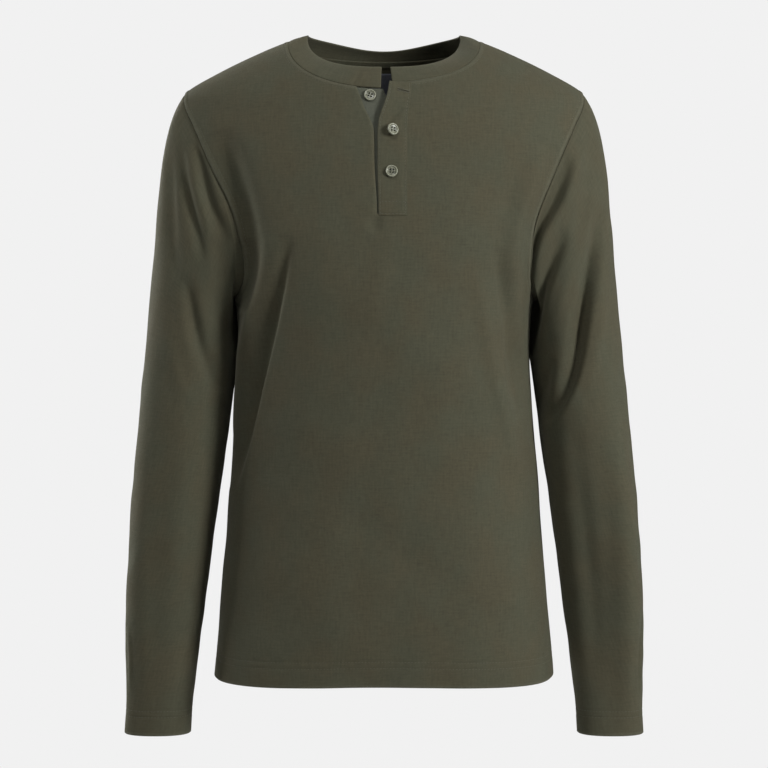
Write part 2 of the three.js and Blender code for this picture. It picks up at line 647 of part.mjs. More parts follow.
function bandTop(x, turn) {
  const share = Math.min(1, Math.abs(x) / NECK_HALF_WIDTH);
  const across = BAND_TOP.halfWidth * share;
  const flat = Math.sqrt(1 - share * share);
  const frontDrop = BAND_TOP.frontDrop * (1 - share ** BAND_TOP.square) ** (1 / BAND_TOP.square);
  const backDrop = BAND_TOP.backDrop * Math.cos(QUARTER_TURN * share) ** 2;
  const inFront = Math.cos(turn) >= 0;
  return new THREE.Vector3(
    Math.sign(x) * across,
    inFront ? -BAND_TOP.front * flat : BAND_TOP.back * flat,
    inFront ? -frontDrop : -backDrop,
  );
}

function neckband() {
  const columns = bandColumns();
  const count = columns.length;
  const foot = columns.map(({ turn, z }) => bodyCloth(turn, z));
  const footInner = columns.map(({ turn, z }) => bodyCloth(turn, z, -BAND_CLOTH_NECK));
  const top = columns.map(({ turn }, i) => bandTop(foot[i].x, turn));
  const up = foot.map((p, i) => top[i].clone().sub(p).normalize());
  const along = (i) => top[Math.min(count - 1, i + 1)].clone().sub(top[Math.max(0, i - 1)]);
  const out = foot.map((_, i) => along(i).cross(up[i]).normalize());
  const rows = (layerFoot, lift) =>
    Array.from({ length: BAND_ROWS + 1 }, (_, r) => {
      const t = r / BAND_ROWS;
      return foot.map((p, i) => {
        if (r === 0) return layerFoot[i].clone().addScaledVector(up[i], SEAM_GAP);
        const bulge = BAND_BULGE * Math.sin(HALF_TURN * t);
        return p.clone().lerp(top[i], t).addScaledVector(out[i], lift + bulge);
      });
    });
  return wall(rows(foot, 0), rows(footInner, -BAND_CLOTH_NECK));
}

// A strip on the front between two edges given by a table, from one height to another
function bandOnFront(table, topZ, lift, thickness, rows, columns) {
  const face = (extra) =>
    Array.from({ length: rows + 1 }, (_, i) => {
      const t = i / rows;
      return Array.from({ length: columns + 1 }, (_, j) => {
        const s = j / columns;
        const low = PLACKET_BOTTOM_Z;
        const guess = mix(topZ(0), low, t);
        const x = mix(fromTable(table, "z", "left", guess), fromTable(table, "z", "right", guess), s);
        const z = mix(topZ(x), low, t);
        return bodyCloth(turnAt(x, z), z, lift(s, z) + extra);
      });
    });
  return wall(face(thickness), face(0));
}

const seamBelow = (x) => neckSeam(neckAngle(x)).z - PLACKET_TOP_GAP;

// The flap is free on its edge to the wearer's right and stands off there near the top
const overLift = (s, z) => LAYER_GAP + fromTable(OVER_BAND, "z", "lift", z) * (1 - s) ** 2;

function placketOver() {
  return bandOnFront(OVER_BAND, (x) => seamBelow(Math.max(1, x)), overLift, BAND_CLOTH, 12, 4);
}

const underLift = () => -CLOTH - LAYER_GAP - BAND_CLOTH;

function placketUnder() {
  return bandOnFront(UNDER_BAND, (x) => seamBelow(Math.min(-1, x)), underLift, BAND_CLOTH, 10, 3);
}

// Neck tape: covers the back neck seam on the inside, from shoulder to shoulder
function neckTape() {
  const row = backPlaces()[0].slice(1, -1);
  const below = row.map(({ turn, z }) => {
    const foot = bodyPoint(turn, z);
    return { turn, z: z - TAPE_BELOW_SEAM * Math.max(0.35, Math.abs(foot.y) / BODY_SECTIONS[1].back) };
  });
  const layer = (depth) => {
    const seam = row.map(({ turn, z }) => bodyCloth(turn, z, -depth));
    const low = below.map(({ turn, z }) => bodyCloth(turn, z, -depth));
    const high = row.map(({ turn, z }, i) => {
      const outside = bodyCloth(turn, z);
      const up = bandTop(outside.x, turn).sub(outside).normalize();
      return seam[i].clone().addScaledVector(up, TAPE_ABOVE_SEAM);
    });
    return [low, seam, high];
  };
  const start = BAND_CLOTH_NECK + LAYER_GAP + CHORD_ROOM / 2;
  return wall(layer(start), layer(start + TRIM));
}

function neckLabel() {
  const rows = 3;
  const columns = 4;
  const layer = (depth) =>
    Array.from({ length: rows + 1 }, (_, i) => {
      const z = mix(LABEL.top, LABEL.bottom, i / rows);
      return Array.from({ length: columns + 1 }, (_, j) => {
        const x = mix(-LABEL.halfWidth, LABEL.halfWidth, j / columns);
        return bodyCloth(turnAt(x || 1e-9, z, "back"), z, -depth);
      });
    });
  const start = CLOTH + LAYER_GAP + CHORD_ROOM;
  return wall(layer(start), layer(start + TRIM));
}

function asManifold(geometry) {
  const bare = geometry.clone();
  bare.deleteAttribute("normal");
  bare.deleteAttribute("uv");
  const merged = mergeVertices(bare, 1e-4);
  return new wasm.Manifold(
    new wasm.Mesh({
      numProp: 3,
      vertProperties: merged.attributes.position.array,
      triVerts: new Uint32Array(merged.index.array),
    }),
  );
}

function asGeometry(manifold) {
  const mesh = manifold.getMesh();
  const geometry = new THREE.BufferGeometry();
  geometry.setAttribute("position", new THREE.BufferAttribute(mesh.vertProperties, 3));
  geometry.setIndex(new THREE.BufferAttribute(mesh.triVerts, 1));
  return geometry;
}

// A button with its axis along +Y before it is placed, its back at y = 0
function buttonShape() {
  const { radius, rimHeight, dishHeight, rimWidth, hole, holeRing } = BUTTON;
  const profile = [
    [0, 0],
    [radius - 1, 0],
    [radius, 0.9],
    [radius, rimHeight - 0.6],
    [radius - rimWidth / 2, rimHeight],
    [radius - rimWidth, rimHeight - 0.15],
    [radius - rimWidth - 0.7, dishHeight],
    [0, dishHeight],
  ].map(([r, y]) => new THREE.Vector2(r, y));
  let solid = asManifold(new THREE.LatheGeometry(profile, BUTTON_SIDES));
  for (let k = 0; k < 4; k += 1) {
    const angle = QUARTER_TURN * (k + 0.5);
    const drill = new THREE.CylinderGeometry(hole, hole, rimHeight * 3, BUTTON_HOLE_SIDES);
    drill.translate(holeRing * Math.cos(angle), 0, holeRing * Math.sin(angle));
    solid = solid.subtract(asManifold(drill));
  }
  return asGeometry(solid);
}

// Where a button sits: on its band, turned about the upright by its own angle, just clear of the cloth
function buttonPlace({ x, z, turn, seat }) {
  const bodyTurn = turnAt(x, z);
  const out = bodyNormal(bodyTurn, z);
  const share = (x - fromTable(OVER_BAND, "z", "left", z)) / 30;
  const bandFace = seat === "over" ? overLift(Math.max(0, share), z) + BAND_CLOTH : underLift() + BAND_CLOTH;
  const tilt = THREE.MathUtils.degToRad(turn);
  const clear = LAYER_GAP + (BUTTON.radius - 1) * Math.sin(tilt) + 0.1;
  const origin = bodyCloth(bodyTurn, z, bandFace + clear);
  const quaternion = new THREE.Quaternion().setFromUnitVectors(new THREE.Vector3(0, 1, 0), out);
  quaternion.premultiply(new THREE.Quaternion().setFromAxisAngle(new THREE.Vector3(0, 0, 1), tilt));
  return { origin, quaternion };
}

// Finishes
const JERSEY = { color: 0x4c4b3e, roughness: 0.92, metalness: 0 };
const BAND_JERSEY = { color: 0x55564b, roughness: 0.92, metalness: 0 };
const LABEL_CLOTH = { color: 0x2b2d33, roughness: 0.8, metalness: 0 };
const BUTTON_RESIN = { color: 0x9a9b86, roughness: 0.35, metalness: 0 };

const shirt = new THREE.Group();

function add(name, geometry, finish) {
  geometry.computeVertexNormals();
  const mesh = new THREE.Mesh(geometry, new THREE.MeshStandardMaterial(finish));
  mesh.name = name;
  shirt.add(mesh);
  return mesh;
}

add("front_body", frontBody(), JERSEY);
add("back_body", backBody(), JERSEY);
add("sleeve_left", sleeve(1, SLEEVE_LEFT_FOLDS), JERSEY);
add("sleeve_right", sleeve(-1, SLEEVE_RIGHT_FOLDS), JERSEY);
add("neckband", neckband(), JERSEY);
add("placket_over", placketOver(), JERSEY);
add("placket_under", placketUnder(), BAND_JERSEY);
add("neck_tape", neckTape(), BAND_JERSEY);
add("neck_label", neckLabel(), LABEL_CLOTH);
for (const place of BUTTON_PLACES) {
  const mesh = add(place.name, buttonShape(), BUTTON_RESIN);
  const { origin, quaternion } = buttonPlace(place);
  mesh.position.copy(origin);
  mesh.quaternion.copy(quaternion);
}

export default shirt;
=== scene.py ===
# Long-sleeved henley shirt, filled out as if worn, with no wearer inside.
# Sizes are millimetres in the frame of the solids, and meshes are written in metres:
# +Z up, +X to the wearer's left, the front faces -Y, the origin between the neckband's high points.
import math

import bmesh
import bpy
import numpy as np
from mathutils import Matrix, Vector
from mathutils.geometry import delaunay_2d_cdt
from mathutils.kdtree import KDTree


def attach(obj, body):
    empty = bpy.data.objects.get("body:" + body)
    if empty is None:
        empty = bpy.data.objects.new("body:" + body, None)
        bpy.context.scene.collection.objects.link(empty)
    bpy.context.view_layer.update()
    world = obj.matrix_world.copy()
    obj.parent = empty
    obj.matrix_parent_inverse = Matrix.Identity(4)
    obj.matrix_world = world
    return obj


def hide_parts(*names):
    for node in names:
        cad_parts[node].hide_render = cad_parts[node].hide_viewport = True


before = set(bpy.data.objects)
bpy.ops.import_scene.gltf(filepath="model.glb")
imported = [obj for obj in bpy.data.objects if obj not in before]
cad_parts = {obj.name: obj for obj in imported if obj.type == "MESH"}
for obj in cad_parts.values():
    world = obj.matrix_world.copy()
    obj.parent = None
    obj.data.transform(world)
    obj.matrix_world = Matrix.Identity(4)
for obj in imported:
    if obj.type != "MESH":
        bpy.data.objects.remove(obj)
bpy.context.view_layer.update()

MM = 0.001
QUARTER = math.pi / 2
FRONT, BACK = -1, 1  # which way a face of the body looks along Y


class Table:
    """Sizes under named columns, read as a smooth monotone curve along the first column."""

    def __init__(self, names, *rows):
        values = np.array(rows, float)
        self.names = names.split()
        self.values = values[np.argsort(values[:, 0])]

    def __call__(self, name, at):
        xs = self.values[:, 0]
        ys = self.values[:, self.names.index(name)]
        slopes = np.diff(ys) / np.diff(xs)
        before, after = slopes[:-1], slopes[1:]
        turning = before * after <= 0
        mean = 2 * before * after / np.where(turning, 1, before + after)
        tangents = np.concatenate([slopes[:1], np.where(turning, 0, mean), slopes[-1:]])
        at = np.clip(at, xs[0], xs[-1])
        k = np.clip(np.searchsorted(xs, at, side="right") - 1, 0, len(xs) - 2)
        step = xs[k + 1] - xs[k]
        t = (at - xs[k]) / step
        return (
            ys[k] * (2 * t**3 - 3 * t**2 + 1)
            + tangents[k] * step * (t**3 - 2 * t**2 + t)
            + ys[k + 1] * (3 * t**2 - 2 * t**3)
            + tangents[k + 1] * step * (t**3 - t**2)
        )


# Body sections from the shoulders to the hem
BODY = Table(
    "z side front back square",
    (-7.5, 102, 54, 50, 2),
    (-20, 132, 68, 65, 2),
    (-44, 181, 84.5, 82.5, 2.05),
    (-64, 214, 94.5, 93, 2.1),
    (-78, 226, 99.5, 97, 2.15),
    (-95, 228.5, 104, 101, 2.2),
    (-120, 226, 110, 106, 2.3),
    (-150, 216, 115.5, 110, 2.37),
    (-180, 202.5, 120, 112.5, 2.42),
    (-210, 188, 124, 114, 2.45),
    (-240, 175, 126.7, 114, 2.49),
    (-265, 166, 128, 113, 2.5),
    (-285, 160.5, 128.5, 111, 2.5),
    (-310, 157, 128, 107.5, 2.5),
    (-340, 156, 127, 104, 2.5),
    (-437, 162, 121.5, 97, 2.6),
    (-523, 168.2, 119, 99, 2.7),
    (-610, 175, 121, 107, 2.85),
    (-684, 181, 125, 114, 3),
)
SHOULDER_TIP_Z = -64
UNDERARM_Z = -285
HEM_Z = -684
HEM_DIP = 2.5

# Neck seam and the upper edge of the band above it
NECK_HALF_WIDTH = 102
NECK_SHOULDER_Z = -7.5
NECK_DROP_LEFT = 58
NECK_DROP_RIGHT = 64
NECK_DROP_BACK = 12.1
NECK_FRONT_SQUARE = 0.76
BAND_TOP_HALF_WIDTH = 82.5
BAND_TOP_FRONT = 82
BAND_TOP_BACK = 54
BAND_TOP_FRONT_DROP = 47.6
BAND_TOP_BACK_DROP = 8.4
BAND_TOP_SQUARE = 2.4
BAND_END_LEFT_X = 8.2
BAND_END_RIGHT_X = -3.1

# Armhole seam from the shoulder tip to the underarm
ARMHOLE = Table(
    "row z front back",
    (0, -64, 214, 214),
    (1, -80, 212, 213.5),
    (2, -105, 201, 204.5),
    (3, -133, 188.5, 194),
    (4, -162, 176, 184),
    (5, -190, 164.5, 174),
    (6, -216, 157, 166.5),
    (7, -240, 153.5, 162),
    (8, -260, 153, 160),
    (9, -274, 155, 159.5),
    (10, -282.5, 158.2, 160.2),
    (11, -284.5, 160.2, 160.45),
    (12, -285, 160.5, 160.5),
)
ARMHOLE_ROWS = 12

# Sleeve sections: outer and inner edge, front and back, and how much of the armhole's line is left
SLEEVE = Table(
    "at outX outZ inX inZ front back seam",
    (0, 214, -64, 160.5, -285, -78, 65, 1),
    (1, 217.5, -70, 161.3, -286.2, -77.5, 65, 0.97),
    (2, 222.5, -79, 160.9, -290, -77, 65, 0.92),
    (3, 228, -93, 159.8, -296, -76.5, 65, 0.83),
    (4, 233.5, -115, 158.6, -303, -76, 65.5, 0.69),
    (5, 239, -152, 157.8, -311, -74.5, 66, 0.48),
    (6, 243.8, -200, 157.3, -320, -72, 67, 0.26),
    (7, 248.3, -250, 156.9, -331, -70, 67.5, 0.1),
    (8, 252.7, -300, 156.8, -343, -68.5, 67, 0.02),
    (9, 257, -346, 158.7, -356, -68, 65, 0),
    (10, 261, -392, 164, -397, -68.5, 60, 0),
    (11, 264.5, -436, 168.7, -439, -69, 53, 0),
    (12, 270.8, -522, 180, -523, -69, 36, 0),
    (13, 274.6, -608, 191.1, -608, -66, 18, 0),
    (14, 274.3, -692, 201, -692, -62.5, 0.5, 0),
    (15, 273.6, -713, 203.2, -713, -61.5, -4, 0),
    (16, 275.2, -745, 204.9, -745, -62, -8, 0),
)
SLEEVE_LAST = 16
SLEEVE_SQUARE = 2.25

# Placket bands and the slit that they close
OVER_BAND = Table(
    "z left right lift",
    (-59, 7.2, 28.5, 3.2),
    (-77, 4.6, 27.5, 3.2),
    (-92, 0, 25.4, 3),
    (-106, -4.6, 23.8, 2.2),
    (-121, -5.9, 23.4, 1.2),
    (-149, -6.1, 23.4, 0.4),
    (-180, -5.5, 23.4, 0.1),
    (-205.4, -5, 23.4, 0),
)
UNDER_BAND = Table(
    "z left right",
    (-59, -34, -4),
    (-72, -30, -1.5),
    (-92, -22.5, 7.5),
    (-118, -13, 17),
    (-150, -12.2, 18.5),
    (-205.4, -11, 19.5),
)
SLIT = Table(
    "z left right",
    (-59, -32.4, 22),
    (-71, -28, 22),
    (-92, -20.2, 21),
    (-118, -10.2, 20.6),
    (-150, -9.7, 20.6),
    (-203.5, -7, 20.6),
    (-684, -7, 20.6),
)
SLIT_END_Z = -203.5
PLACKET_BOTTOM_Z = -205.4
PLACKET_TOP_GAP = 0.4

# Thicknesses, and the air between layers
CLOTH = 1.0
CLOTH_WALL = 1.5  # wall of the solid that a panel stands for
HEM_CLOTH = 1.9
BAND_CLOTH = 1.4
NECK_BAND_CLOTH = 1.6
TRIM = 0.9
SEAM_GAP = 0.3
LAYER_GAP = 0.35

# Stitching
STITCH = 2.6
THREAD = 0.34
HEM_STITCH_LOW = 18.6
HEM_STITCH_HIGH = 25
NECK_STITCH = 5.6
ARMHOLE_STITCH = 7.4
SEAM_DIP = 0.75
BAND_STITCH = 1.8
BOX_STITCH_RISE = 14.5


def smooth(t):
    t = np.clip(t, 0, 1)
    return t * t * (3 - 2 * t)


def mix(a, b, t):
    return a + (b - a) * t


def unit(v):
    return v / np.maximum(np.linalg.norm(v, axis=-1, keepdims=True), 1e-12)


# Surface of the body: swing is 0 on the centre line and a quarter turn at the wearer's left side
def body_point(swing, z, face):
    square = BODY("square", z)
    reach = (np.abs(np.sin(swing)) ** square + np.abs(np.cos(swing)) ** square) ** (-1 / square)
    depth = BODY("front" if face == FRONT else "back", z)
    x = BODY("side", z) * np.sin(swing) * reach
    return np.stack([x, face * depth * np.cos(swing) * reach, z + 0 * x], axis=-1)


def body_normal(swing, z, face):
    d_swing, d_z = 0.01, 0.6
    across = body_point(swing + d_swing, z, face) - body_point(swing - d_swing, z, face)
    up = body_point(swing, z + d_z, face) - body_point(swing, z - d_z, face)
    return unit(-face * np.cross(across, up))


def swing_at(x, z):
    square = BODY("square", z)
    share = np.clip(np.abs(x) / BODY("side", z), 0, 1)
    return np.sign(x) * np.arctan2(share, (1 - share**square) ** (1 / square))


def neck_seam(angle):
    """x, z and face of the neck seam at an angle round the neck, 0 at the centre front."""
    x = NECK_HALF_WIDTH * np.sin(angle)
    in_front = np.cos(angle) >= 0
    front_drop = np.where(x >= 0, NECK_DROP_LEFT, NECK_DROP_RIGHT)
    share = np.abs(np.cos(angle))
    drop = np.where(in_front, front_drop * share**NECK_FRONT_SQUARE, NECK_DROP_BACK * share)
    return x, NECK_SHOULDER_Z - drop, in_front


# Folds: each is a line over a piece with its height (negative for a trough), half width and lean.
# Lean makes the side towards the wearer's left wider (positive) or steeper (negative).
class Fold:
    def __init__(self, face, height, width, lean, *line):
        self.face, self.height, self.width, self.lean = face, height, width, lean
        points = np.array(line, float)
        for _ in range(3):  # corners of the line are cut until it runs smoothly
            cut_a = mix(points[:-1], points[1:], 0.25)
            cut_b = mix(points[:-1], points[1:], 0.75)
            middle = np.stack([cut_a, cut_b], axis=1).reshape(-1, 2)[1:-1]
            points = np.concatenate([points[:1], middle, points[-1:]])
        self.points = points

    def rise(self, x, z):
        near = np.full(x.shape, np.inf)
        side = np.zeros(x.shape)
        along = np.zeros(x.shape)
        steps = np.diff(self.points, axis=0)
        lengths = np.linalg.norm(steps, axis=1)
        before = np.concatenate([[0], np.cumsum(lengths)])
        for start, step, length, gone in zip(self.points, steps, lengths, before):
            dx, dz = x - start[0], z - start[1]
            t = np.clip((dx * step[0] + dz * step[1]) / length**2, 0, 1)
            distance = np.hypot(dx - t * step[0], dz - t * step[1])
            closer = distance < near
            near = np.where(closer, distance, near)
            side = np.where(closer, dx * -step[1] + dz * step[0], side)
            along = np.where(closer, (gone + t * length) / before[-1], along)
        fade = np.sin(math.pi * np.clip(along, 0, 1)) ** 0.75
        signed = near * np.sign(side)
        width = self.width * (1 + self.lean * np.tanh(signed / self.width))
        share = (signed / width) ** 2
        return self.height * fade * (1.12 * np.exp(-share) - 0.12 * np.exp(-share / 6))


# The solids' own folds come first in each list, then finer ones
BODY_FOLDS = [
    Fold(FRONT, -11, 7.2, -0.2, (-96, -224), (-101, -250), (-111, -294), (-123, -340), (-136, -390), (-149, -445), (-160, -490)),
    Fold(FRONT, 5, 8, 0, (-117, -225), (-134, -290), (-145, -335), (-154, -380), (-161, -430)),
    Fold(FRONT, -6, 8, 0.1, (116, -236), (124, -281), (129.5, -313), (136.2, -363), (143, -415)),
    Fold(FRONT, 6, 11, 0, (166, -130), (154, -165), (142, -200), (133, -232), (131, -262), (134, -300), (139, -340)),
    Fold(FRONT, 3.4, 9, 0, (96, -262), (102, -300), (110, -345), (120, -390), (133, -440), (143, -480)),
    Fold(FRONT, -1.8, 6, 0, (-6.5, -204), (-8, -213), (-11.5, -224)),
    Fold(FRONT, -13, 14, 0, (-170, -112), (-160, -146), (-150, -182), (-142, -222), (-140, -262), (-143, -300)),
    Fold(FRONT, -5, 8, 0, (-149, -226), (-149, -262), (-151, -300)),
    Fold(FRONT, 1.5, 26, 0, (-128, -120), (-118, -170), (-108, -206)),
    Fold(FRONT, -1.1, 22, 0, (-70, -470), (-20, -520), (40, -560), (90, -640)),
    Fold(FRONT, 1.0, 24, 0, (-110, -560), (-60, -600), (-20, -660)),
    Fold(FRONT, -0.9, 18, 0, (60, -300), (80, -380), (88, -470)),
    Fold(FRONT, 1.2, 12, 0, (8, -215), (-2, -260), (-16, -320)),
    Fold(BACK, -5, 11, 0, (-104, -250), (-114, -320), (-128, -390), (-146, -470)),
    Fold(BACK, -4, 10, 0, (110, -240), (121, -300), (132, -360), (148, -450)),
    Fold(BACK, 3, 13, 0, (-128, -270), (-137, -340), (-148, -410)),
    Fold(BACK, 2.2, 24, 0, (60, -470), (20, -490), (-30, -480), (-70, -500)),
    Fold(BACK, -4, 16, 0, (160, -130), (150, -180), (138, -226)),
    Fold(BACK, -4.5, 16, 0, (-162, -126), (-150, -186), (-140, -236)),
    Fold(BACK, -2.4, 18, 0, (96, -500), (40, -522), (-20, -514), (-86, -538)),
    Fold(BACK, -1.6, 16, 0, (70, -70), (30, -84), (-26, -83), (-72, -68)),
]
# Sleeve folds count x on the wearer's own side
SLEEVE_RIGHT_FOLDS = [
    Fold(FRONT, -5, 5.5, 0.1, (196, -118), (190, -150), (183.3, -180), (175, -203), (163.4, -228)),
    Fold(FRONT, -5.5, 6, 0.1, (214, -122), (211, -150), (205, -182), (197.9, -205), (191.5, -232), (188, -250)),
    Fold(FRONT, -3.6, 6.5, 0, (226, -118), (224, -160), (225, -200), (221, -240), (214, -275)),
    Fold(FRONT, -6, 7, 0, (208, -262), (201, -300), (194.5, -330), (184, -358), (171, -384)),
    Fold(FRONT, -3.6, 12, 0, (176, -196), (168, -232), (165, -276), (164, -322), (170, -372)),
    Fold(FRONT, 1.6, 6, 0, (204, -128), (199, -160), (192, -190), (184, -220)),
    Fold(FRONT, 1.6, 8, 0, (232, -300), (222, -352), (206, -398)),
    Fold(FRONT, 3, 12, 0, (244, -430), (251, -490), (256, -570), (258, -640), (258, -716)),
    Fold(FRONT, 1.4, 14, 0, (206, -440), (212, -500), (219, -570), (226, -640)),
    Fold(FRONT, 2.0, 2.4, 0.4, (268, -632), (265, -664), (267, -700)),
    Fold(BACK, -4, 11, 0, (196, -170), (189, -215), (182, -262), (176, -305)),
    Fold(BACK, -3, 10, 0, (232, -250), (222, -300), (206, -348), (186, -384)),
    Fold(BACK, -2.5, 11, 0, (250, -430), (232, -462), (206, -486)),
    Fold(BACK, -2.4, 9, 0, (246, -480), (232, -506), (210, -524)),
    Fold(BACK, 1.8, 14, 0, (226, -120), (222, -180), (214, -240)),
]
SLEEVE_LEFT_FOLDS = [
    Fold(FRONT, -11, 6, -0.3, (193, -140), (188, -162), (179, -188), (167, -207), (158, -222), (152, -246), (149, -270)),
    Fold(FRONT, -10, 7, -0.2, (189, -214), (179, -243), (170, -265), (161, -292), (157, -316), (156, -340)),
    Fold(FRONT, 2.6, 9, 0, (201, -226), (193, -256), (184, -290), (176, -330)),
    Fold(FRONT, -15, 7, -0.3, (230, -190), (222, -240), (215, -276), (208, -312), (202, -348), (194, -376), (184, -396), (168, -418)),
    Fold(FRONT, 2.4, 7, 0, (241, -201), (235, -250), (229, -297), (222, -346), (212, -384)),
    Fold(FRONT, -4, 6, 0, (176, -350), (169, -380), (165, -410)),
    Fold(FRONT, 2.2, 6, 0, (206, -130), (198, -164), (188, -190)),
    Fold(FRONT, -2.6, 9, 0, (220, -120), (216, -160), (208, -196), (200, -226)),
    Fold(FRONT, -4, 12, 0, (196, -400), (202, -460), (211, -540), (219, -620), (224, -700)),
    Fold(FRONT, 10, 14, 0, (242, -400), (249, -480), (255, -570), (257, -650), (258, -740)),
    Fold(FRONT, 2.4, 2.4, 0.4, (271, -616), (267, -640), (266, -668), (269, -706)),
    Fold(BACK, -5, 10, 0, (200, -165), (191, -205), (184, -255), (178, -300)),
    Fold(BACK, -3.5, 11, 0, (236, -240), (226, -292), (210, -345), (190, -390)),
    Fold(BACK, -2.5, 11, 0, (252, -440), (236, -470), (212, -492)),
    Fold(BACK, -2.2, 9, 0, (248, -486), (232, -512), (212, -528)),
    Fold(BACK, 1.8, 14, 0, (228, -120), (224, -180), (216, -236)),
]


def folds_at(folds, face, x, z):
    return sum((fold.rise(x, z) for fold in folds if fold.face == face), np.zeros(x.shape))


class Ripple:
    """Soft unevenness of hanging cloth: a few long waves in seeded directions."""

    def __init__(self, seed, longest, shortest, height, waves=14):
        random = np.random.default_rng(seed)
        lengths = np.exp(random.uniform(math.log(shortest), math.log(longest), waves))
        angles = random.uniform(0, math.pi, waves)
        self.wave = 2 * math.pi * np.stack([np.cos(angles), np.sin(angles)]) / lengths
        self.phase = random.uniform(0, 2 * math.pi, waves)
        self.height = height * lengths / lengths.mean() / math.sqrt(waves)

    def __call__(self, a, b):
        total = np.zeros(np.shape(a))
        for across, down, phase, height in zip(*self.wave, self.phase, self.height):
            total += height * np.sin(a * across + b * down + phase)
        return total


BODY_RIPPLE = Ripple(3, 190, 34, 0.55)
SLEEVE_RIPPLE = Ripple(5, 120, 26, 0.4)


def body_cloth(swing, z, face, lift=0.0):
    """Point of the cloth over the body, lifted out by a distance from the panels' outer face."""
    base = body_point(swing, z, face)
    clear_of_seam = smooth(np.abs(np.cos(swing)) / 0.25)
    fold = folds_at(BODY_FOLDS, face, base[..., 0], z) * clear_of_seam
    return base + body_normal(swing, z, face) * np.expand_dims(fold + lift, -1)


# Flat cutting pattern of one face of the body
class Pattern:
    """Across is the length round the body from the centre line, down (negative) the length from the neck."""

    def __init__(self, face):
        self.face = face
        self.zs = np.linspace(NECK_SHOULDER_Z, HEM_Z - 2 * HEM_DIP, 380)
        self.swings = np.linspace(0, QUARTER, 140)
        swing, z = np.meshgrid(self.swings, self.zs)
        points = body_point(swing, z, face)
        steps = np.linalg.norm(np.diff(points, axis=1), axis=2)
        self.arcs = np.concatenate([np.zeros((len(self.zs), 1)), np.cumsum(steps, axis=1)], axis=1)
        upright = np.abs(body_normal(swing, z, face)[..., 2])
        rate = (1 / np.sqrt(1 - np.minimum(upright, 0.95) ** 2))[:, 50:].mean(axis=1)
        drops = -np.diff(self.zs) * (rate[1:] + rate[:-1]) / 2
        self.downs = -np.concatenate([[0], np.cumsum(drops)])

    def flat(self, swing, z):
        k, t = self.row(z)
        arcs = [self.across(np.abs(swing), i) for i in (k, k + 1)]
        return np.stack([np.sign(swing) * mix(*arcs, t), np.interp(-z, -self.zs, self.downs)], axis=-1)

    def row(self, z):
        at = (z - self.zs[0]) / (self.zs[1] - self.zs[0])
        k = np.clip(np.floor(at).astype(int), 0, len(self.zs) - 2)
        return k, at - k

    def across(self, swing, k):
        at = np.clip(swing / self.swings[1], 0, len(self.swings) - 1.000001)
        j = np.floor(at).astype(int)
        return mix(self.arcs[k, j], self.arcs[k, j + 1], at - j)

    def place(self, a, b):
        """Swing and z of a point of the pattern."""
        z = np.interp(-b, -self.downs, self.zs)
        k, t = self.row(z)
        rows = mix(self.arcs[k], self.arcs[k + 1], t[:, None])
        reach = np.clip(np.abs(a), 0, rows[:, -1] - 1e-9)
        j = np.clip((rows <= reach[:, None]).sum(axis=1) - 1, 0, len(self.swings) - 2)
        each = np.arange(len(a))
        share = (reach - rows[each, j]) / (rows[each, j + 1] - rows[each, j])
        return np.sign(a) * mix(self.swings[j], self.swings[j + 1], share), z


def evenly(points, spacing):
    """The same line with its points a given distance apart."""
    lengths = np.linalg.norm(np.diff(points, axis=0), axis=1)
    along = np.concatenate([[0], np.cumsum(lengths)])
    count = max(2, int(round(along[-1] / spacing)) + 1)
    at = np.linspace(0, along[-1], count)
    return np.stack([np.interp(at, along, column) for column in points.T], axis=1)


def distance_to(points, line):
    """Distance of each point to a line of the pattern, only where it is under 15 mm."""
    far = 15.0
    found = np.full(len(points), far)
    low, high = line.min(axis=0) - far, line.max(axis=0) + far
    close = np.all((points > low) & (points < high), axis=1).nonzero()[0]
    for part in np.array_split(close, max(1, len(close) // 4000)):
        starts, steps = line[:-1], np.diff(line, axis=0)
        away = points[part][:, None] - starts[None]
        t = np.clip((away * steps).sum(axis=2) / (steps**2).sum(axis=1), 0, 1)
        gap = np.linalg.norm(away - t[..., None] * steps, axis=2).min(axis=1)
        found[part] = np.minimum(found[part], gap)
    return found


def inset(line, distance):
    """A line moved to its left side by a distance."""
    along = np.gradient(line, axis=0)
    return line + unit(np.stack([-along[:, 1], along[:, 0]], axis=1)) * distance


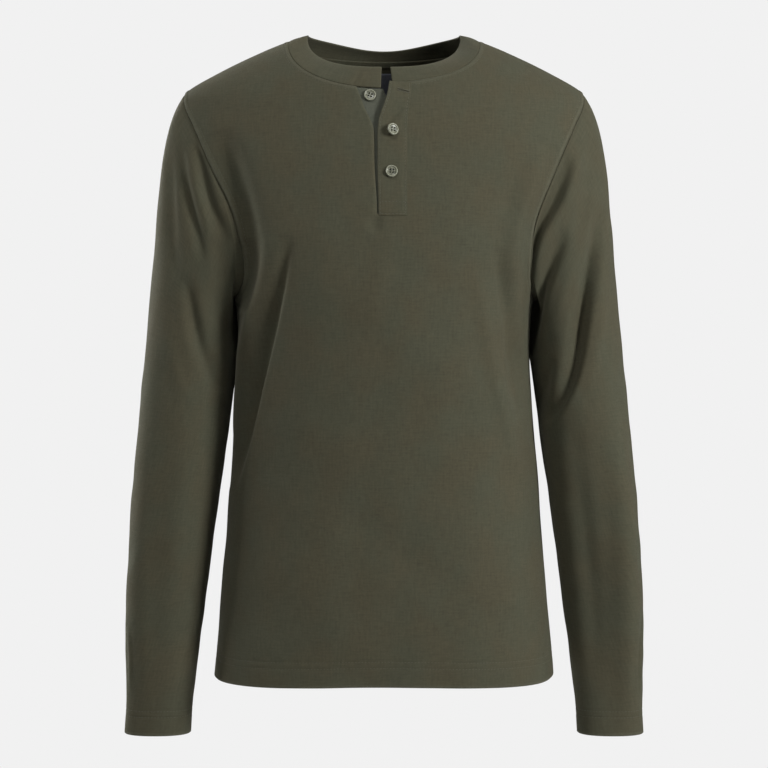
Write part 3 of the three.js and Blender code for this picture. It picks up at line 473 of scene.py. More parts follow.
def fill(outline, rows, spacing, holes=()):
    """Triangles over an outline: its own points, extra rows of points, and an even staggered lattice."""
    kept = [np.asarray(outline)]
    tree = KDTree(sum(len(ring) for ring in (outline, *holes)))
    for i, p in enumerate(np.concatenate([outline, *holes])):
        tree.insert((p[0], p[1], 0), i)
    tree.balance()
    for line, distance in rows:
        gap = np.array([tree.find((p[0], p[1], 0))[2] for p in line])
        kept.append(line[(gap > 0.93 * distance) & inside(line, outline)])
    fixed = np.concatenate([*kept, *holes])
    tree = KDTree(len(fixed))
    for i, p in enumerate(fixed):
        tree.insert((p[0], p[1], 0), i)
    tree.balance()
    lattice = []
    low, high = outline.min(axis=0), outline.max(axis=0)
    row_step = spacing * math.sqrt(0.75)
    for i, b in enumerate(np.arange(low[1] + row_step / 2, high[1], row_step)):
        a = np.arange(low[0] + (i % 2) * spacing / 2, high[0], spacing)
        lattice.append(np.stack([a, np.full(len(a), b)], axis=1))
    lattice = np.concatenate(lattice)
    clear = np.array([tree.find((p[0], p[1], 0))[2] > 0.62 * spacing for p in lattice])
    lattice = lattice[clear]
    lattice = lattice[inside(lattice, outline)]
    for hole in holes:
        lattice = lattice[~inside(lattice, hole)]
    rings = [np.arange(len(outline))]
    points = [*kept]
    for hole in holes:
        rings.append(sum(len(p) for p in points) + np.arange(len(hole)))
        points.append(hole)
    points = np.concatenate([*points, lattice])
    edges = [(int(a), int(b)) for ring in rings for a, b in zip(ring, np.roll(ring, -1))]
    made = delaunay_2d_cdt([Vector(p) for p in points], edges, [], 1, 1e-6)
    triangles = np.array([face for face in made[2] if len(face) == 3])
    old = np.array([ids[0] if ids else -1 for ids in made[3]])
    triangles = old[triangles]
    middle = points[triangles].mean(axis=1)
    good = inside(middle, outline)
    for hole in holes:
        good &= ~inside(middle, hole)
    return points, triangles[good & (triangles.min(axis=1) >= 0)], rings


def inside(points, outline):
    """Whether each point lies in a closed outline."""
    a, b = outline, np.roll(outline, -1, axis=0)
    found = np.zeros(len(points), bool)
    for part in np.array_split(np.arange(len(points)), max(1, len(points) // 4000)):
        x, y = points[part, 0][:, None], points[part, 1][:, None]
        crosses = (a[:, 1] > y) != (b[:, 1] > y)
        rise = np.where(a[:, 1] == b[:, 1], 1e-12, b[:, 1] - a[:, 1])
        found[part] = (crosses & (x < a[:, 0] + (y - a[:, 1]) * (b[:, 0] - a[:, 0]) / rise)).sum(axis=1) % 2 == 1
    return found


def vertex_normals(points, triangles):
    a, b, c = (points[triangles[:, i]] for i in range(3))
    across = np.cross(b - a, c - a)
    total = np.zeros_like(points)
    for i in range(3):
        np.add.at(total, triangles[:, i], across)
    return unit(total)


def make_piece(name, points, faces, material, grain=None, highlight_wear_mask=None):
    """A mesh object from points in millimetres. grain holds the place in the flat cloth, and the last argument a mask
    of paler paint, partly wear and partly painted highlight.
    """
    mesh = bpy.data.meshes.new(name)
    mesh.from_pydata((np.asarray(points) * MM).tolist(), [], [list(map(int, f)) for f in faces])
    mesh.polygons.foreach_set("use_smooth", [True] * len(mesh.polygons))
    if grain is not None:
        layer = mesh.attributes.new("grain", "FLOAT_VECTOR", "POINT")
        flat = np.column_stack([np.asarray(grain) * MM, np.zeros(len(points))])
        layer.data.foreach_set("vector", flat.astype(np.float32).ravel())
    if highlight_wear_mask is not None:
        layer = mesh.attributes.new("highlight_and_wear", "FLOAT", "POINT")
        layer.data.foreach_set("value", np.asarray(highlight_wear_mask, np.float32))
    mesh.materials.append(material)
    mesh.validate()
    piece = bpy.data.objects.new(name, mesh)
    bpy.context.scene.collection.objects.link(piece)
    return piece


def shell(name, outline, rows, spacing, surface, thickness, material, round_edge, holes=(), highlight_wear_mask=None):
    """A cloth shell over an outline. surface gives the outer face, thickness the cloth at each point."""
    flat, triangles, rings = fill(outline, rows, spacing, holes)
    outer = surface(flat)
    normals = vertex_normals(outer, triangles)
    if (normals * surface(flat, 1.0)).sum() < (normals * outer).sum():
        triangles = triangles[:, ::-1]
        normals = -normals
    thick = thickness(flat)
    inner = outer - normals * thick[:, None]
    count = len(flat)
    points = [outer, inner]
    faces = [*triangles, *(triangles[:, ::-1] + count)]
    grain = [flat, flat]
    total = 2 * count
    for ring in rings:
        rim = (outer[ring] + inner[ring]) / 2
        along = np.roll(rim, -1, axis=0) - np.roll(rim, 1, axis=0)
        out = unit(np.cross(along, normals[ring]))
        centre_way = 1 if (out * (rim - outer.mean(axis=0))).sum() > 0 else -1
        if ring[0] != 0:
            centre_way = -1 if (out * (rim - rim.mean(axis=0))).sum() > 0 else 1
        bulge = round_edge(flat[ring]) * thick[ring] / 2
        points.append(rim + centre_way * out * bulge[:, None])
        grain.append(flat[ring])
        middle = total + np.arange(len(ring))
        total += len(ring)
        for near, far in ((ring, middle), (middle, ring + count)):
            quads = np.stack([near, far, np.roll(far, -1), np.roll(near, -1)], axis=1)
            faces.extend(quads)
    points = np.concatenate(points)
    highlight_and_wear = highlight_wear_mask(np.concatenate(grain)) if highlight_wear_mask else None
    piece = make_piece(name, points, faces, material, np.concatenate(grain), highlight_and_wear)
    face_outwards(piece)
    return piece


def face_outwards(piece):
    """Turns every face the same way, out of the shell."""
    loose = bmesh.new()
    loose.from_mesh(piece.data)
    bmesh.ops.recalc_face_normals(loose, faces=loose.faces)
    loose.to_mesh(piece.data)
    loose.free()


# Finishes. A socket given as an input is linked, anything else is set as its value.
def put(tree, kind, inputs=None, **settings):
    node = tree.nodes.new(kind)
    for key, value in settings.items():
        setattr(node, key, value)
    for key, value in (inputs or {}).items():
        if isinstance(value, bpy.types.NodeSocket):
            tree.links.new(value, node.inputs[key])
        else:
            node.inputs[key].default_value = value
    return node


def blend(tree, factor, a, b, mode="MIX"):
    """Colour a mixed with colour b."""
    node = put(tree, "ShaderNodeMix", data_type="RGBA", blend_type=mode)
    for index, value in ((0, factor), (6, a), (7, b)):
        if isinstance(value, bpy.types.NodeSocket):
            tree.links.new(value, node.inputs[index])
        else:
            node.inputs[index].default_value = value
    return node.outputs[2]


def spread(tree, value, from_low, from_high, to_low, to_high):
    inputs = {0: value, 1: from_low, 2: from_high, 3: to_low, 4: to_high}
    return put(tree, "ShaderNodeMapRange", inputs).outputs[0]


def times(tree, a, b, operation="MULTIPLY"):
    return put(tree, "ShaderNodeMath", {0: a, 1: b}, operation=operation).outputs[0]


def group_of(name, inputs, outputs):
    """An empty node group with named sockets, and its two ends."""
    group = bpy.data.node_groups.new(name, "ShaderNodeTree")
    for label, kind, value in inputs:
        group.interface.new_socket(label, in_out="INPUT", socket_type=kind).default_value = value
    for label, kind in outputs:
        group.interface.new_socket(label, in_out="OUTPUT", socket_type=kind)
    return group, group.nodes.new("NodeGroupInput").outputs, group.nodes.new("NodeGroupOutput").inputs


def linear(red, green, blue):
    """A colour named as it looks on screen, 0 to 255, as light."""
    return (*(((c / 255 + 0.055) / 1.055) ** 2.4 for c in (red, green, blue)), 1)


COLOUR, NUMBER = "NodeSocketColor", "NodeSocketFloat"


def peached_jersey_group():
    """Knitted cloth with a brushed face: slubs across, a hue that drifts, wales and courses."""
    group, given, made = group_of(
        "peached_jersey",
        [
            ("Cloth Colour", COLOUR, (0.5, 0.5, 0.5, 1)),
            ("Drift Colour", COLOUR, (0.5, 0.5, 0.5, 1)),
            ("Highlight And Wear Colour", COLOUR, (0.5, 0.5, 0.5, 1)),
            ("Mottle", NUMBER, 0.1),
            ("Slub", NUMBER, 0.1),
        ],
        [("Colour", COLOUR), ("Roughness", NUMBER), ("Height", NUMBER)],
    )
    flat = put(group, "ShaderNodeAttribute", attribute_name="grain").outputs["Vector"]
    highlight_and_wear = put(group, "ShaderNodeAttribute", attribute_name="highlight_and_wear").outputs["Fac"]

    def noise(scale, stretch=(1, 1, 1), detail=2.0):
        place = put(group, "ShaderNodeMapping", {"Vector": flat, "Scale": stretch}).outputs[0]
        return put(group, "ShaderNodeTexNoise", {"Vector": place, "Scale": scale, "Detail": detail}).outputs[0]

    drift = spread(group, noise(24, (1, 0.7, 1), 3.0), 0.38, 0.62, 0, 1)
    colour = blend(group, drift, given["Cloth Colour"], given["Drift Colour"])
    # Paler paint on folded edges and seam ridges: partly wear, partly painted highlight
    colour = blend(group, highlight_and_wear, colour, given["Highlight And Wear Colour"])
    fine = times(group, times(group, noise(420, detail=3.0), 0.5, "SUBTRACT"), given["Mottle"])
    slub = times(group, times(group, noise(1, (70, 620, 1)), 0.5, "SUBTRACT"), given["Slub"])
    upright = times(group, times(group, noise(1, (500, 60, 1)), 0.5, "SUBTRACT"), given["Slub"])
    shade = times(group, times(group, fine, slub, "ADD"), upright, "ADD")
    lightness = times(group, times(group, shade, 1.0, "ADD"), 0.0, "MAXIMUM")
    shaded = put(group, "ShaderNodeVectorMath", {0: colour}, operation="SCALE")
    group.links.new(lightness, shaded.inputs["Scale"])
    group.links.new(shaded.outputs[0], made["Colour"])
    group.links.new(spread(group, noise(160), 0.3, 0.7, 0.84, 0.96), made["Roughness"])

    def ribs(direction, scale):
        inputs = {"Vector": flat, "Scale": scale, "Distortion": 0.6, "Detail": 1.0}
        return put(group, "ShaderNodeTexWave", inputs, bands_direction=direction).outputs["Fac"]

    knit = times(group, ribs("X", 330), ribs("Y", 430))
    fuzz = times(group, noise(1500, detail=2.0), 0.8)
    group.links.new(times(group, times(group, knit, 0.5), fuzz, "ADD"), made["Height"])
    return group


peached_jersey = peached_jersey_group()


def bare_material(name):
    material = bpy.data.materials.new(name)
    material.use_nodes = True
    return material, material.node_tree, material.node_tree.nodes["Principled BSDF"]


def bumped(tree, shader, height, depth):
    """Relief of a given depth in millimetres on a shader."""
    bump = put(tree, "ShaderNodeBump", {"Height": height, "Distance": depth * MM, "Strength": 1.0})
    tree.links.new(bump.outputs[0], shader.inputs["Normal"])


def jersey_material(name, cloth, drift, highlight_and_wear, mottle, slub, sheen):
    material, tree, shader = bare_material(name)
    face = put(tree, "ShaderNodeGroup", node_tree=peached_jersey)
    values = {
        "Cloth Colour": linear(*cloth),
        "Drift Colour": linear(*drift),
        "Highlight And Wear Colour": linear(*highlight_and_wear),
        "Mottle": mottle,
        "Slub": slub,
    }
    for key, value in values.items():
        face.inputs[key].default_value = value
    tree.links.new(face.outputs["Colour"], shader.inputs["Base Color"])
    tree.links.new(face.outputs["Roughness"], shader.inputs["Roughness"])
    bumped(tree, shader, face.outputs["Height"], 0.16)
    shader.inputs["Sheen Weight"].default_value = sheen
    shader.inputs["Sheen Roughness"].default_value = 0.45
    shader.inputs["Sheen Tint"].default_value = linear(206, 204, 182)
    shader.inputs["Specular IOR Level"].default_value = 0.12
    return material


# Third colour: the paler paint of folded edges and seam ridges, partly wear and partly painted highlight
jersey = jersey_material("olive_jersey", (73, 73, 59), (75, 72, 57), (84, 83, 69), 0.3, 0.32, 0.16)
inner_jersey = jersey_material(
    "grey_green_inner_jersey", (82, 84, 74), (80, 82, 71), (90, 91, 80), 0.26, 0.26, 0.14
)


def thread_material(name, colour):
    """Twisted sewing thread, a little glossier than the cloth."""
    material, tree, shader = bare_material(name)
    place = put(tree, "ShaderNodeTexCoord").outputs["Object"]
    twist = put(tree, "ShaderNodeTexNoise", {"Vector": place, "Scale": 900.0, "Detail": 2.0}).outputs[0]
    dark = tuple(c * 0.72 for c in linear(*colour)[:3]) + (1,)
    tree.links.new(blend(tree, twist, dark, linear(*colour)), shader.inputs["Base Color"])
    bumped(tree, shader, twist, 0.12)
    shader.inputs["Roughness"].default_value = 0.62
    shader.inputs["Sheen Weight"].default_value = 0.1
    return material


olive_thread = thread_material("olive_thread", (85, 84, 69))
dark_thread = thread_material("dark_button_thread", (46, 46, 38))
pale_thread = thread_material("pale_tack_thread", (158, 156, 132))


def label_material():
    """Plain dark label in a fine satin weave, with nothing on it."""
    material, tree, shader = bare_material("bare_woven_label")
    flat = put(tree, "ShaderNodeAttribute", attribute_name="grain").outputs["Vector"]
    warp = put(tree, "ShaderNodeTexWave", {"Vector": flat, "Scale": 620.0}, bands_direction="X").outputs["Fac"]
    weft = put(tree, "ShaderNodeTexWave", {"Vector": flat, "Scale": 460.0}, bands_direction="Y").outputs["Fac"]
    weave = times(tree, warp, weft)
    cloud = put(tree, "ShaderNodeTexNoise", {"Vector": flat, "Scale": 180.0, "Detail": 3.0}).outputs[0]
    shade = times(tree, times(tree, weave, 0.4), cloud, "ADD")
    tree.links.new(
        blend(tree, spread(tree, shade, 0.3, 0.9, 0, 1), linear(58, 61, 70), linear(86, 89, 98)),
        shader.inputs["Base Color"],
    )
    bumped(tree, shader, weave, 0.1)
    shader.inputs["Roughness"].default_value = 0.6
    shader.inputs["Sheen Weight"].default_value = 0.2
    return material


label_cloth = label_material()


def resin_material():
    """Marbled button resin: cloudy veins, and a raised rim painted paler as a highlight, which leaves the dish
    darker.
    """
    material, tree, shader = bare_material("marbled_resin")
    place = put(tree, "ShaderNodeTexCoord").outputs["Object"]
    warp = put(tree, "ShaderNodeTexNoise", {"Vector": place, "Scale": 170.0, "Detail": 3.0}).outputs["Color"]
    moved = put(tree, "ShaderNodeVectorMath", {0: warp, "Scale": 0.008}, operation="SCALE").outputs[0]
    veined = put(tree, "ShaderNodeVectorMath", {0: place, 1: moved}, operation="ADD").outputs[0]
    veins = put(tree, "ShaderNodeTexNoise", {"Vector": veined, "Scale": 330.0, "Detail": 4.0}).outputs[0]
    cloud = blend(tree, spread(tree, veins, 0.36, 0.64, 0, 1), linear(80, 82, 68), linear(122, 123, 106))
    # Painted highlight: paler paint on the raised rim
    rim = put(tree, "ShaderNodeAttribute", attribute_name="highlight_and_wear").outputs["Fac"]
    tree.links.new(blend(tree, times(tree, rim, 0.75), cloud, linear(142, 143, 124)), shader.inputs["Base Color"])
    tree.links.new(spread(tree, veins, 0.3, 0.7, 0.28, 0.42), shader.inputs["Roughness"])
    bumped(tree, shader, veins, 0.05)
    shader.inputs["Coat Weight"].default_value = 0.25
    shader.inputs["Coat Roughness"].default_value = 0.2
    return material


resin = resin_material()


# Stitching
def stitches(name, lines, material, length=STITCH, thread=THREAD, gap=0.75):
    """Rows of small thread loops. Each line is its points and the cloth's normals there."""
    sides, rings = 5, 6
    share = np.linspace(-1, 1, rings)
    swell = np.sqrt(1 - (0.94 * share) ** 2) * thread / 2
    rise = thread * (0.34 - 0.5 * share**2)
    angle = np.arange(sides) * 2 * math.pi / sides
    points = []
    for line, normals in lines:
        gone = np.concatenate([[0], np.cumsum(np.linalg.norm(np.diff(line, axis=0), axis=1))])
        count = max(1, int(gone[-1] / (length + gap)))
        centre = (np.arange(count) + 0.5) * gone[-1] / count
        half = (gone[-1] / count - gap) / 2
        at = centre[:, None] + share[None] * half
        spine = np.stack([np.interp(at, gone, column) for column in line.T], axis=-1)
        up = unit(np.stack([np.interp(at, gone, column) for column in normals.T], axis=-1))
        along = unit(np.gradient(spine, axis=1))
        across = unit(np.cross(along, up))
        spine = spine + up * rise[None, :, None]
        ring = (
            across[:, :, None] * np.cos(angle)[None, None, :, None]
            + up[:, :, None] * np.sin(angle)[None, None, :, None]
        )
        points.append((spine[:, :, None] + ring * swell[None, :, None, None]).reshape(-1, 3))
    points = np.concatenate(points)
    one = np.arange(rings * sides).reshape(rings, sides)
    nxt = np.roll(one, -1, axis=1)
    quads = np.stack([one[:-1], nxt[:-1], nxt[1:], one[1:]], axis=-1).reshape(-1, 4)
    faces = []
    for first in range(0, len(points), rings * sides):
        faces.extend(quads + first)
        faces.append(one[0][::-1] + first)
        faces.append(one[-1] + first)
    return make_piece(name, points, faces, material)


def on_surface(surface, flat, raise_by=0.0):
    """A line of the pattern on the finished cloth, with the cloth's normals."""
    low, high = surface(flat), surface(flat, 1.0)
    normals = unit(high - low)
    return low + normals * raise_by, normals


# Body panels
def edge_points(swings, zs, pattern, spacing):
    return evenly(pattern.flat(np.asarray(swings, float), np.asarray(zs, float)), spacing)


EDGE_SPACING = 2.6


def neck_edge(pattern, angle_from, angle_to):
    angle = np.linspace(angle_from, angle_to, 160)
    x, z, _ = neck_seam(angle if pattern.face == FRONT else math.pi - angle)
    return edge_points(swing_at(x, z), z, pattern, EDGE_SPACING)


def side_edges(pattern, side):
    """Shoulder, armhole and side seam of one side, from the neck to the hem."""
    column = "front" if pattern.face == FRONT else "back"
    z = np.linspace(NECK_SHOULDER_Z, SHOULDER_TIP_Z, 60)
    shoulder = edge_points(np.full(60, side * QUARTER), z, pattern, EDGE_SPACING)
    row = np.linspace(0, ARMHOLE_ROWS, 240)
    z = ARMHOLE("z", row)
    armhole = edge_points(side * swing_at(ARMHOLE(column, row), z), z, pattern, EDGE_SPACING)
    z = np.linspace(UNDERARM_Z, HEM_Z, 120)
    side_seam = edge_points(np.full(120, side * QUARTER), z, pattern, EDGE_SPACING)
    return shoulder, armhole, side_seam


def hem_edge(pattern):
    swing = np.linspace(-QUARTER, QUARTER, 200)
    return edge_points(swing, HEM_Z - HEM_DIP * np.sin(2 * swing) ** 2, pattern, EDGE_SPACING)


def front_outline(pattern):
    """Named edges of the front in order, wearer's right neck first, round to the slit."""
    slit_x = {1: "right", -1: "left"}
    start = {}
    for side in (1, -1):
        x = SLIT(slit_x[side], -66.0)
        for _ in range(5):
            x = SLIT(slit_x[side], neck_seam(np.arcsin(x / NECK_HALF_WIDTH))[1])
        start[side] = float(np.arcsin(x / NECK_HALF_WIDTH))
    right = side_edges(pattern, -1)
    left = side_edges(pattern, 1)
    slit = {}
    for side in (1, -1):
        z = np.linspace(float(neck_seam(start[side])[1]), SLIT_END_Z, 90)
        slit[side] = edge_points(swing_at(SLIT(slit_x[side], z), z), z, pattern, EDGE_SPACING)
    return {
        "neck_right": neck_edge(pattern, start[-1], -QUARTER),
        "shoulder_right": right[0],
        "armhole_right": right[1],
        "side_right": right[2],
        "hem": hem_edge(pattern),
        "side_left": left[2][::-1],
        "armhole_left": left[1][::-1],
        "shoulder_left": left[0][::-1],
        "neck_left": neck_edge(pattern, start[1], QUARTER)[::-1],
        "slit_left": slit[1],
        "slit_foot": evenly(np.stack([slit[1][-1], slit[-1][-1]]), EDGE_SPACING),
        "slit_right": slit[-1][::-1],
    }


def back_outline(pattern):
    right = side_edges(pattern, -1)
    left = side_edges(pattern, 1)
    return {
        "neck": neck_edge(pattern, QUARTER, -QUARTER),
        "shoulder_right": right[0],
        "armhole_right": right[1],
        "side_right": right[2],
        "hem": hem_edge(pattern),
        "side_left": left[2][::-1],
        "armhole_left": left[1][::-1],
        "shoulder_left": left[0][::-1],
    }


def joined(edges):
    return np.concatenate([line[:-1] for line in edges.values()])


def seam_roll(distance):
    """How far cloth dips into a seam at its edge."""
    return -SEAM_DIP * np.exp(-((distance / 1.3) ** 2))


def stitched(distance, at, fullness):
    """Allowance that fills out a seam up to its line of stitches, which pulls the cloth in."""
    ridge = fullness * smooth((at + 0.6 - distance) / 1.4) * smooth(distance / 2.2)
    return ridge - 0.8 * fullness * np.exp(-(((distance - at) / 0.9) ** 2))


def body_panel(name, face, edges, pattern):
    outline = joined(edges)
    rows = []
    for key, line in edges.items():
        if key.startswith(("armhole", "neck", "shoulder")):
            at = ARMHOLE_STITCH if key.startswith("armhole") else NECK_STITCH
            rows += [(inset(line, d), d) for d in (1.3, 2.6, 3.9, at - 1, at, at + 1)]
        elif key.startswith("side"):
            rows += [(inset(line, d), d) for d in (1.3, 2.6)]
        elif key == "hem":
            near = (1.2, HEM_STITCH_LOW, HEM_STITCH_HIGH)
            rows += [(inset(line, d + e), d + e) for d in near for e in (-1.1, 0, 1.1) if d + e > 0.5]

    def surface(flat, lift=0.0):
        swing, z = pattern.place(flat[:, 0], flat[:, 1])
        rise = BODY_RIPPLE(flat[:, 0], flat[:, 1] + 700 * face) * smooth(np.abs(np.cos(swing)) / 0.3)
        rise *= smooth((-z - 90) / 120)
        if face == FRONT:  # the cloth lies flat round the placket
            rise *= smooth(np.maximum(np.abs(flat[:, 0] - 7) - 20, -215 - z) / 40)
        for key, line in edges.items():
            if key.startswith("slit"):
                continue
            distance = distance_to(flat, line)
            if key == "hem":
                for at in (HEM_STITCH_LOW, HEM_STITCH_HIGH):
                    rise = rise - 0.32 * np.exp(-(((hem_height(flat, line) - at) / 0.9) ** 2))
            elif key.startswith("armhole"):
                rise = rise + seam_roll(distance) + stitched(distance, ARMHOLE_STITCH, 0.45)
            elif key.startswith("neck"):
                rise = rise + 0.6 * seam_roll(distance) + stitched(distance, NECK_STITCH, 0.22)
            else:
                rise = rise + seam_roll(distance)
        return body_cloth(swing, z, face, rise + lift)

    def thickness(flat):
        return mix(CLOTH, HEM_CLOTH, smooth((HEM_STITCH_HIGH + 1 - hem_height(flat, edges["hem"])) / 1.5))

    def round_edge(flat):
        free = smooth((4 - hem_height(flat, edges["hem"])) / 2)
        return np.maximum(free, 0.0)

    def highlight_and_wear(flat):
        """Painted paler along the stitched seams and the hem's fold: partly wear, partly a painted highlight where
        the raised seam allowances and the fold catch the light.
        """
        near = np.exp(-((hem_height(flat, edges["hem"]) / 1.6) ** 2))
        for key, line in edges.items():
            if key.startswith(("armhole", "neck")):
                at = (ARMHOLE_STITCH if key.startswith("armhole") else NECK_STITCH) / 2
                near = np.maximum(near, 0.7 * np.exp(-(((distance_to(flat, line) - at) / 1.8) ** 2)))
        return near

    panel = shell(name, outline, rows, PANEL_SPACING, surface, thickness, jersey, round_edge, highlight_wear_mask=highlight_and_wear)
    lines = []
    for key, line in edges.items():
        if key == "hem":
            lines += [inset(line, d) for d in (HEM_STITCH_LOW, HEM_STITCH_HIGH)]
        elif key.startswith("armhole"):
            lines.append(inset(line, ARMHOLE_STITCH)[2:-1])
        elif key.startswith("neck"):
            lines.append(inset(line, NECK_STITCH)[2:-2])
    thread = stitches(name + "_stitching", [on_surface(surface, line, -0.1) for line in lines], olive_thread)
    return panel, thread


def hem_height(flat, hem):
    """Height of each point over the hem's edge, in the flat cloth."""
    return flat[:, 1] - np.interp(flat[:, 0], hem[:, 0], hem[:, 1])


PANEL_SPACING = 3.0

front_pattern = Pattern(FRONT)
back_pattern = Pattern(BACK)
front_edges = front_outline(front_pattern)
back_edges = back_outline(back_pattern)
front, front_thread = body_panel("front_panel", FRONT, front_edges, front_pattern)
back, back_thread = body_panel("back_panel", BACK, back_edges, back_pattern)


# Sleeves
def armhole_line(side, columns):
    """Places on the armhole round one sleeve: down the front, up the back, evenly spaced on each."""
    halves = []
    for face, name in ((FRONT, "front"), (BACK, "back")):
        row = np.linspace(0, ARMHOLE_ROWS, 600)
        z = ARMHOLE("z", row)
        swing = swing_at(ARMHOLE(name, row), z)
        swing[0] = swing[-1] = QUARTER
        points = body_point(swing, z, face)
        along = np.concatenate([[0], np.cumsum(np.linalg.norm(np.diff(points, axis=0), axis=1))])
        at = np.linspace(0, along[-1], columns // 2 + 1)
        halves.append((side * np.interp(at, along, swing), np.interp(at, along, z)))
    (front_swing, front_z), (back_swing, back_z) = halves
    return (
        np.concatenate([front_swing, back_swing[1:-1][::-1]]),
        np.concatenate([front_z, back_z[1:-1][::-1]]),
        np.concatenate([np.full(len(front_z), FRONT), np.full(len(back_z) - 2, BACK)]),
    )


def on_armhole(function, swing, z, face, *rest):
    """A body function on a line that lies partly on the front and partly on the back."""
    in_front, behind = (function(swing, z, which, *rest) for which in (FRONT, BACK))
    return np.where((face == FRONT)[:, None], in_front, behind)


def sleeve_section(at, turn):
    reach = np.abs(np.cos(turn)) ** SLEEVE_SQUARE + np.abs(np.sin(turn)) ** SLEEVE_SQUARE
    reach = reach ** (-1 / SLEEVE_SQUARE)
    out_x, out_z, in_x, in_z = (SLEEVE(name, at) for name in ("outX", "outZ", "inX", "inZ"))
    front_y, back_y = SLEEVE("front", at), SLEEVE("back", at)
    across, round_ = np.cos(turn) * reach, np.sin(turn) * reach
    return np.stack(
        [
            (out_x + in_x) / 2 + (out_x - in_x) / 2 * across,
            (front_y + back_y) / 2 - (back_y - front_y) / 2 * round_,
            (out_z + in_z) / 2 + (out_z - in_z) / 2 * across,
        ],
        axis=-1,
    )


def sleeve_levels(spacing):
    """Table places of the rings, evenly spaced down the sleeve and close together at its stitching."""
    at = np.linspace(0, SLEEVE_LAST, 1601)
    middle = np.stack(
        [(SLEEVE("outX", at) + SLEEVE("inX", at)) / 2, (SLEEVE("outZ", at) + SLEEVE("inZ", at)) / 2], axis=1
    )
    along = np.concatenate([[0], np.cumsum(np.linalg.norm(np.diff(middle, axis=0), axis=1))])
    whole = along[-1]
    close = [0, 1.0, 2.1, 3.4]
    close += [whole - d - e for d in (HEM_STITCH_LOW, HEM_STITCH_HIGH) for e in (-1.1, 0, 1.1)]
    close += [whole - 1.2, whole]
    even = np.linspace(0, whole, int(whole / spacing))
    clear = [d for d in even if min(abs(d - c) for c in close) > 0.6 * spacing]
    lengths = np.array(sorted(close + clear))
    return np.interp(lengths, along, at), lengths, whole


def sleeve(name, side, folds, columns, spacing):
    swing, z, face = armhole_line(side, columns)
    turn = np.arange(columns) * 2 * math.pi / columns
    levels, lengths, whole = sleeve_levels(spacing)
    start = on_armhole(body_point, side * swing, z, face)
    away = start - sleeve_section(np.zeros(columns), turn)
    at, around = np.meshgrid(levels, turn, indexing="ij")
    rings = sleeve_section(at, around) + away[None] * SLEEVE("seam", at)[..., None]
    round_ = np.roll(rings, -1, axis=1) - np.roll(rings, 1, axis=1)
    down = np.gradient(rings, axis=0)
    normals = unit(np.cross(round_, down))
    in_front = np.sin(around) >= 0
    clear = smooth(np.abs(np.sin(around)) / 0.3) * smooth(at / 1.1)
    x, height = rings[..., 0], rings[..., 2]
    fold = np.where(in_front, folds_at(folds, FRONT, x, height), folds_at(folds, BACK, x, height))
    rise = fold * clear
    down_length = lengths[:, None] + 0 * around
    around_length = (around - math.pi) * (SLEEVE("back", at) - SLEEVE("front", at)) / 2
    beside_body = smooth((-np.cos(around) - 0.6) / 0.3) * smooth((260 - down_length) / 60)
    calm = smooth(down_length / 60) * smooth((whole - down_length) / 60) * (1 - beside_body)
    rise = rise + SLEEVE_RIPPLE(around_length * side, down_length) * calm
    rise = rise - 0.75 * np.exp(-((down_length / 1.4) ** 2))
    for stitch in (HEM_STITCH_LOW, HEM_STITCH_HIGH):
        rise = rise - 0.3 * np.exp(-(((whole - down_length - stitch) / 0.9) ** 2))
    outer = rings + normals * rise[..., None]
    outer[..., 0] *= side
    normals[..., 0] *= side
    # The first ring follows the panels' own edge, folds too, a seam gap away
    edge = on_armhole(body_cloth, swing, z, face)
    edge_normal = on_armhole(body_normal, swing, z, face)
    tangent = unit(np.roll(edge, -1, axis=0) - np.roll(edge, 1, axis=0))
    gap = unit(np.cross(edge_normal, tangent)) * side * SEAM_GAP
    outer[0] = edge + gap - 0.75 * edge_normal
    normals[0] = edge_normal
    thick = mix(CLOTH, HEM_CLOTH, smooth((HEM_STITCH_HIGH + 1 - (whole - down_length)) / 1.5))
    inner = outer - normals * thick[..., None]
    rim = (outer[-1] + inner[-1]) / 2 + unit(outer[-1] - outer[-2]) * thick[-1][:, None] * 0.45
    layers = np.concatenate([outer, rim[None], inner[::-1]])
    rows, count = layers.shape[:2]
    index = np.arange(rows * count).reshape(rows, count)
    quads = np.stack(
        [index[:-1], index[1:], np.roll(index, -1, axis=1)[1:], np.roll(index, -1, axis=1)[:-1]], axis=-1
    ).reshape(-1, 4)
    closing = np.stack([index[-1], index[0], np.roll(index[0], -1), np.roll(index[-1], -1)], axis=-1)
    flat = np.stack([around_length, -down_length], axis=-1)
    grain = np.concatenate([flat, flat[-1:], flat[::-1]]).reshape(-1, 2)
    # Cuff's fold painted paler: partly wear, partly painted highlight
    cuff_highlight_and_wear = np.exp(-(((whole - down_length) / 1.6) ** 2))
    highlight_and_wear = np.concatenate([cuff_highlight_and_wear, cuff_highlight_and_wear[-1:], cuff_highlight_and_wear[::-1]]).ravel()
    piece = make_piece(name, layers.reshape(-1, 3), [*quads, *closing], jersey, grain, highlight_and_wear)
    face_outwards(piece)
    rounds = []
    for stitch in (HEM_STITCH_LOW, HEM_STITCH_HIGH):
        k = int(np.argmin(np.abs(whole - lengths - stitch)))
        rounds.append([np.concatenate([ring[k], ring[k][:1]]) for ring in (outer, normals)])
    thread = stitches(name + "_stitching", rounds, olive_thread)
    widths = np.linalg.norm(np.diff(outer, axis=1, append=outer[:, :1]), axis=2).sum(axis=1)
    return piece, thread


SLEEVE_COLUMNS = 144
SLEEVE_SPACING = 3.0
left_sleeve, left_thread = sleeve("left_sleeve", 1, SLEEVE_LEFT_FOLDS, SLEEVE_COLUMNS, SLEEVE_SPACING)
right_sleeve, right_thread = sleeve("right_sleeve", -1, SLEEVE_RIGHT_FOLDS, SLEEVE_COLUMNS, SLEEVE_SPACING)


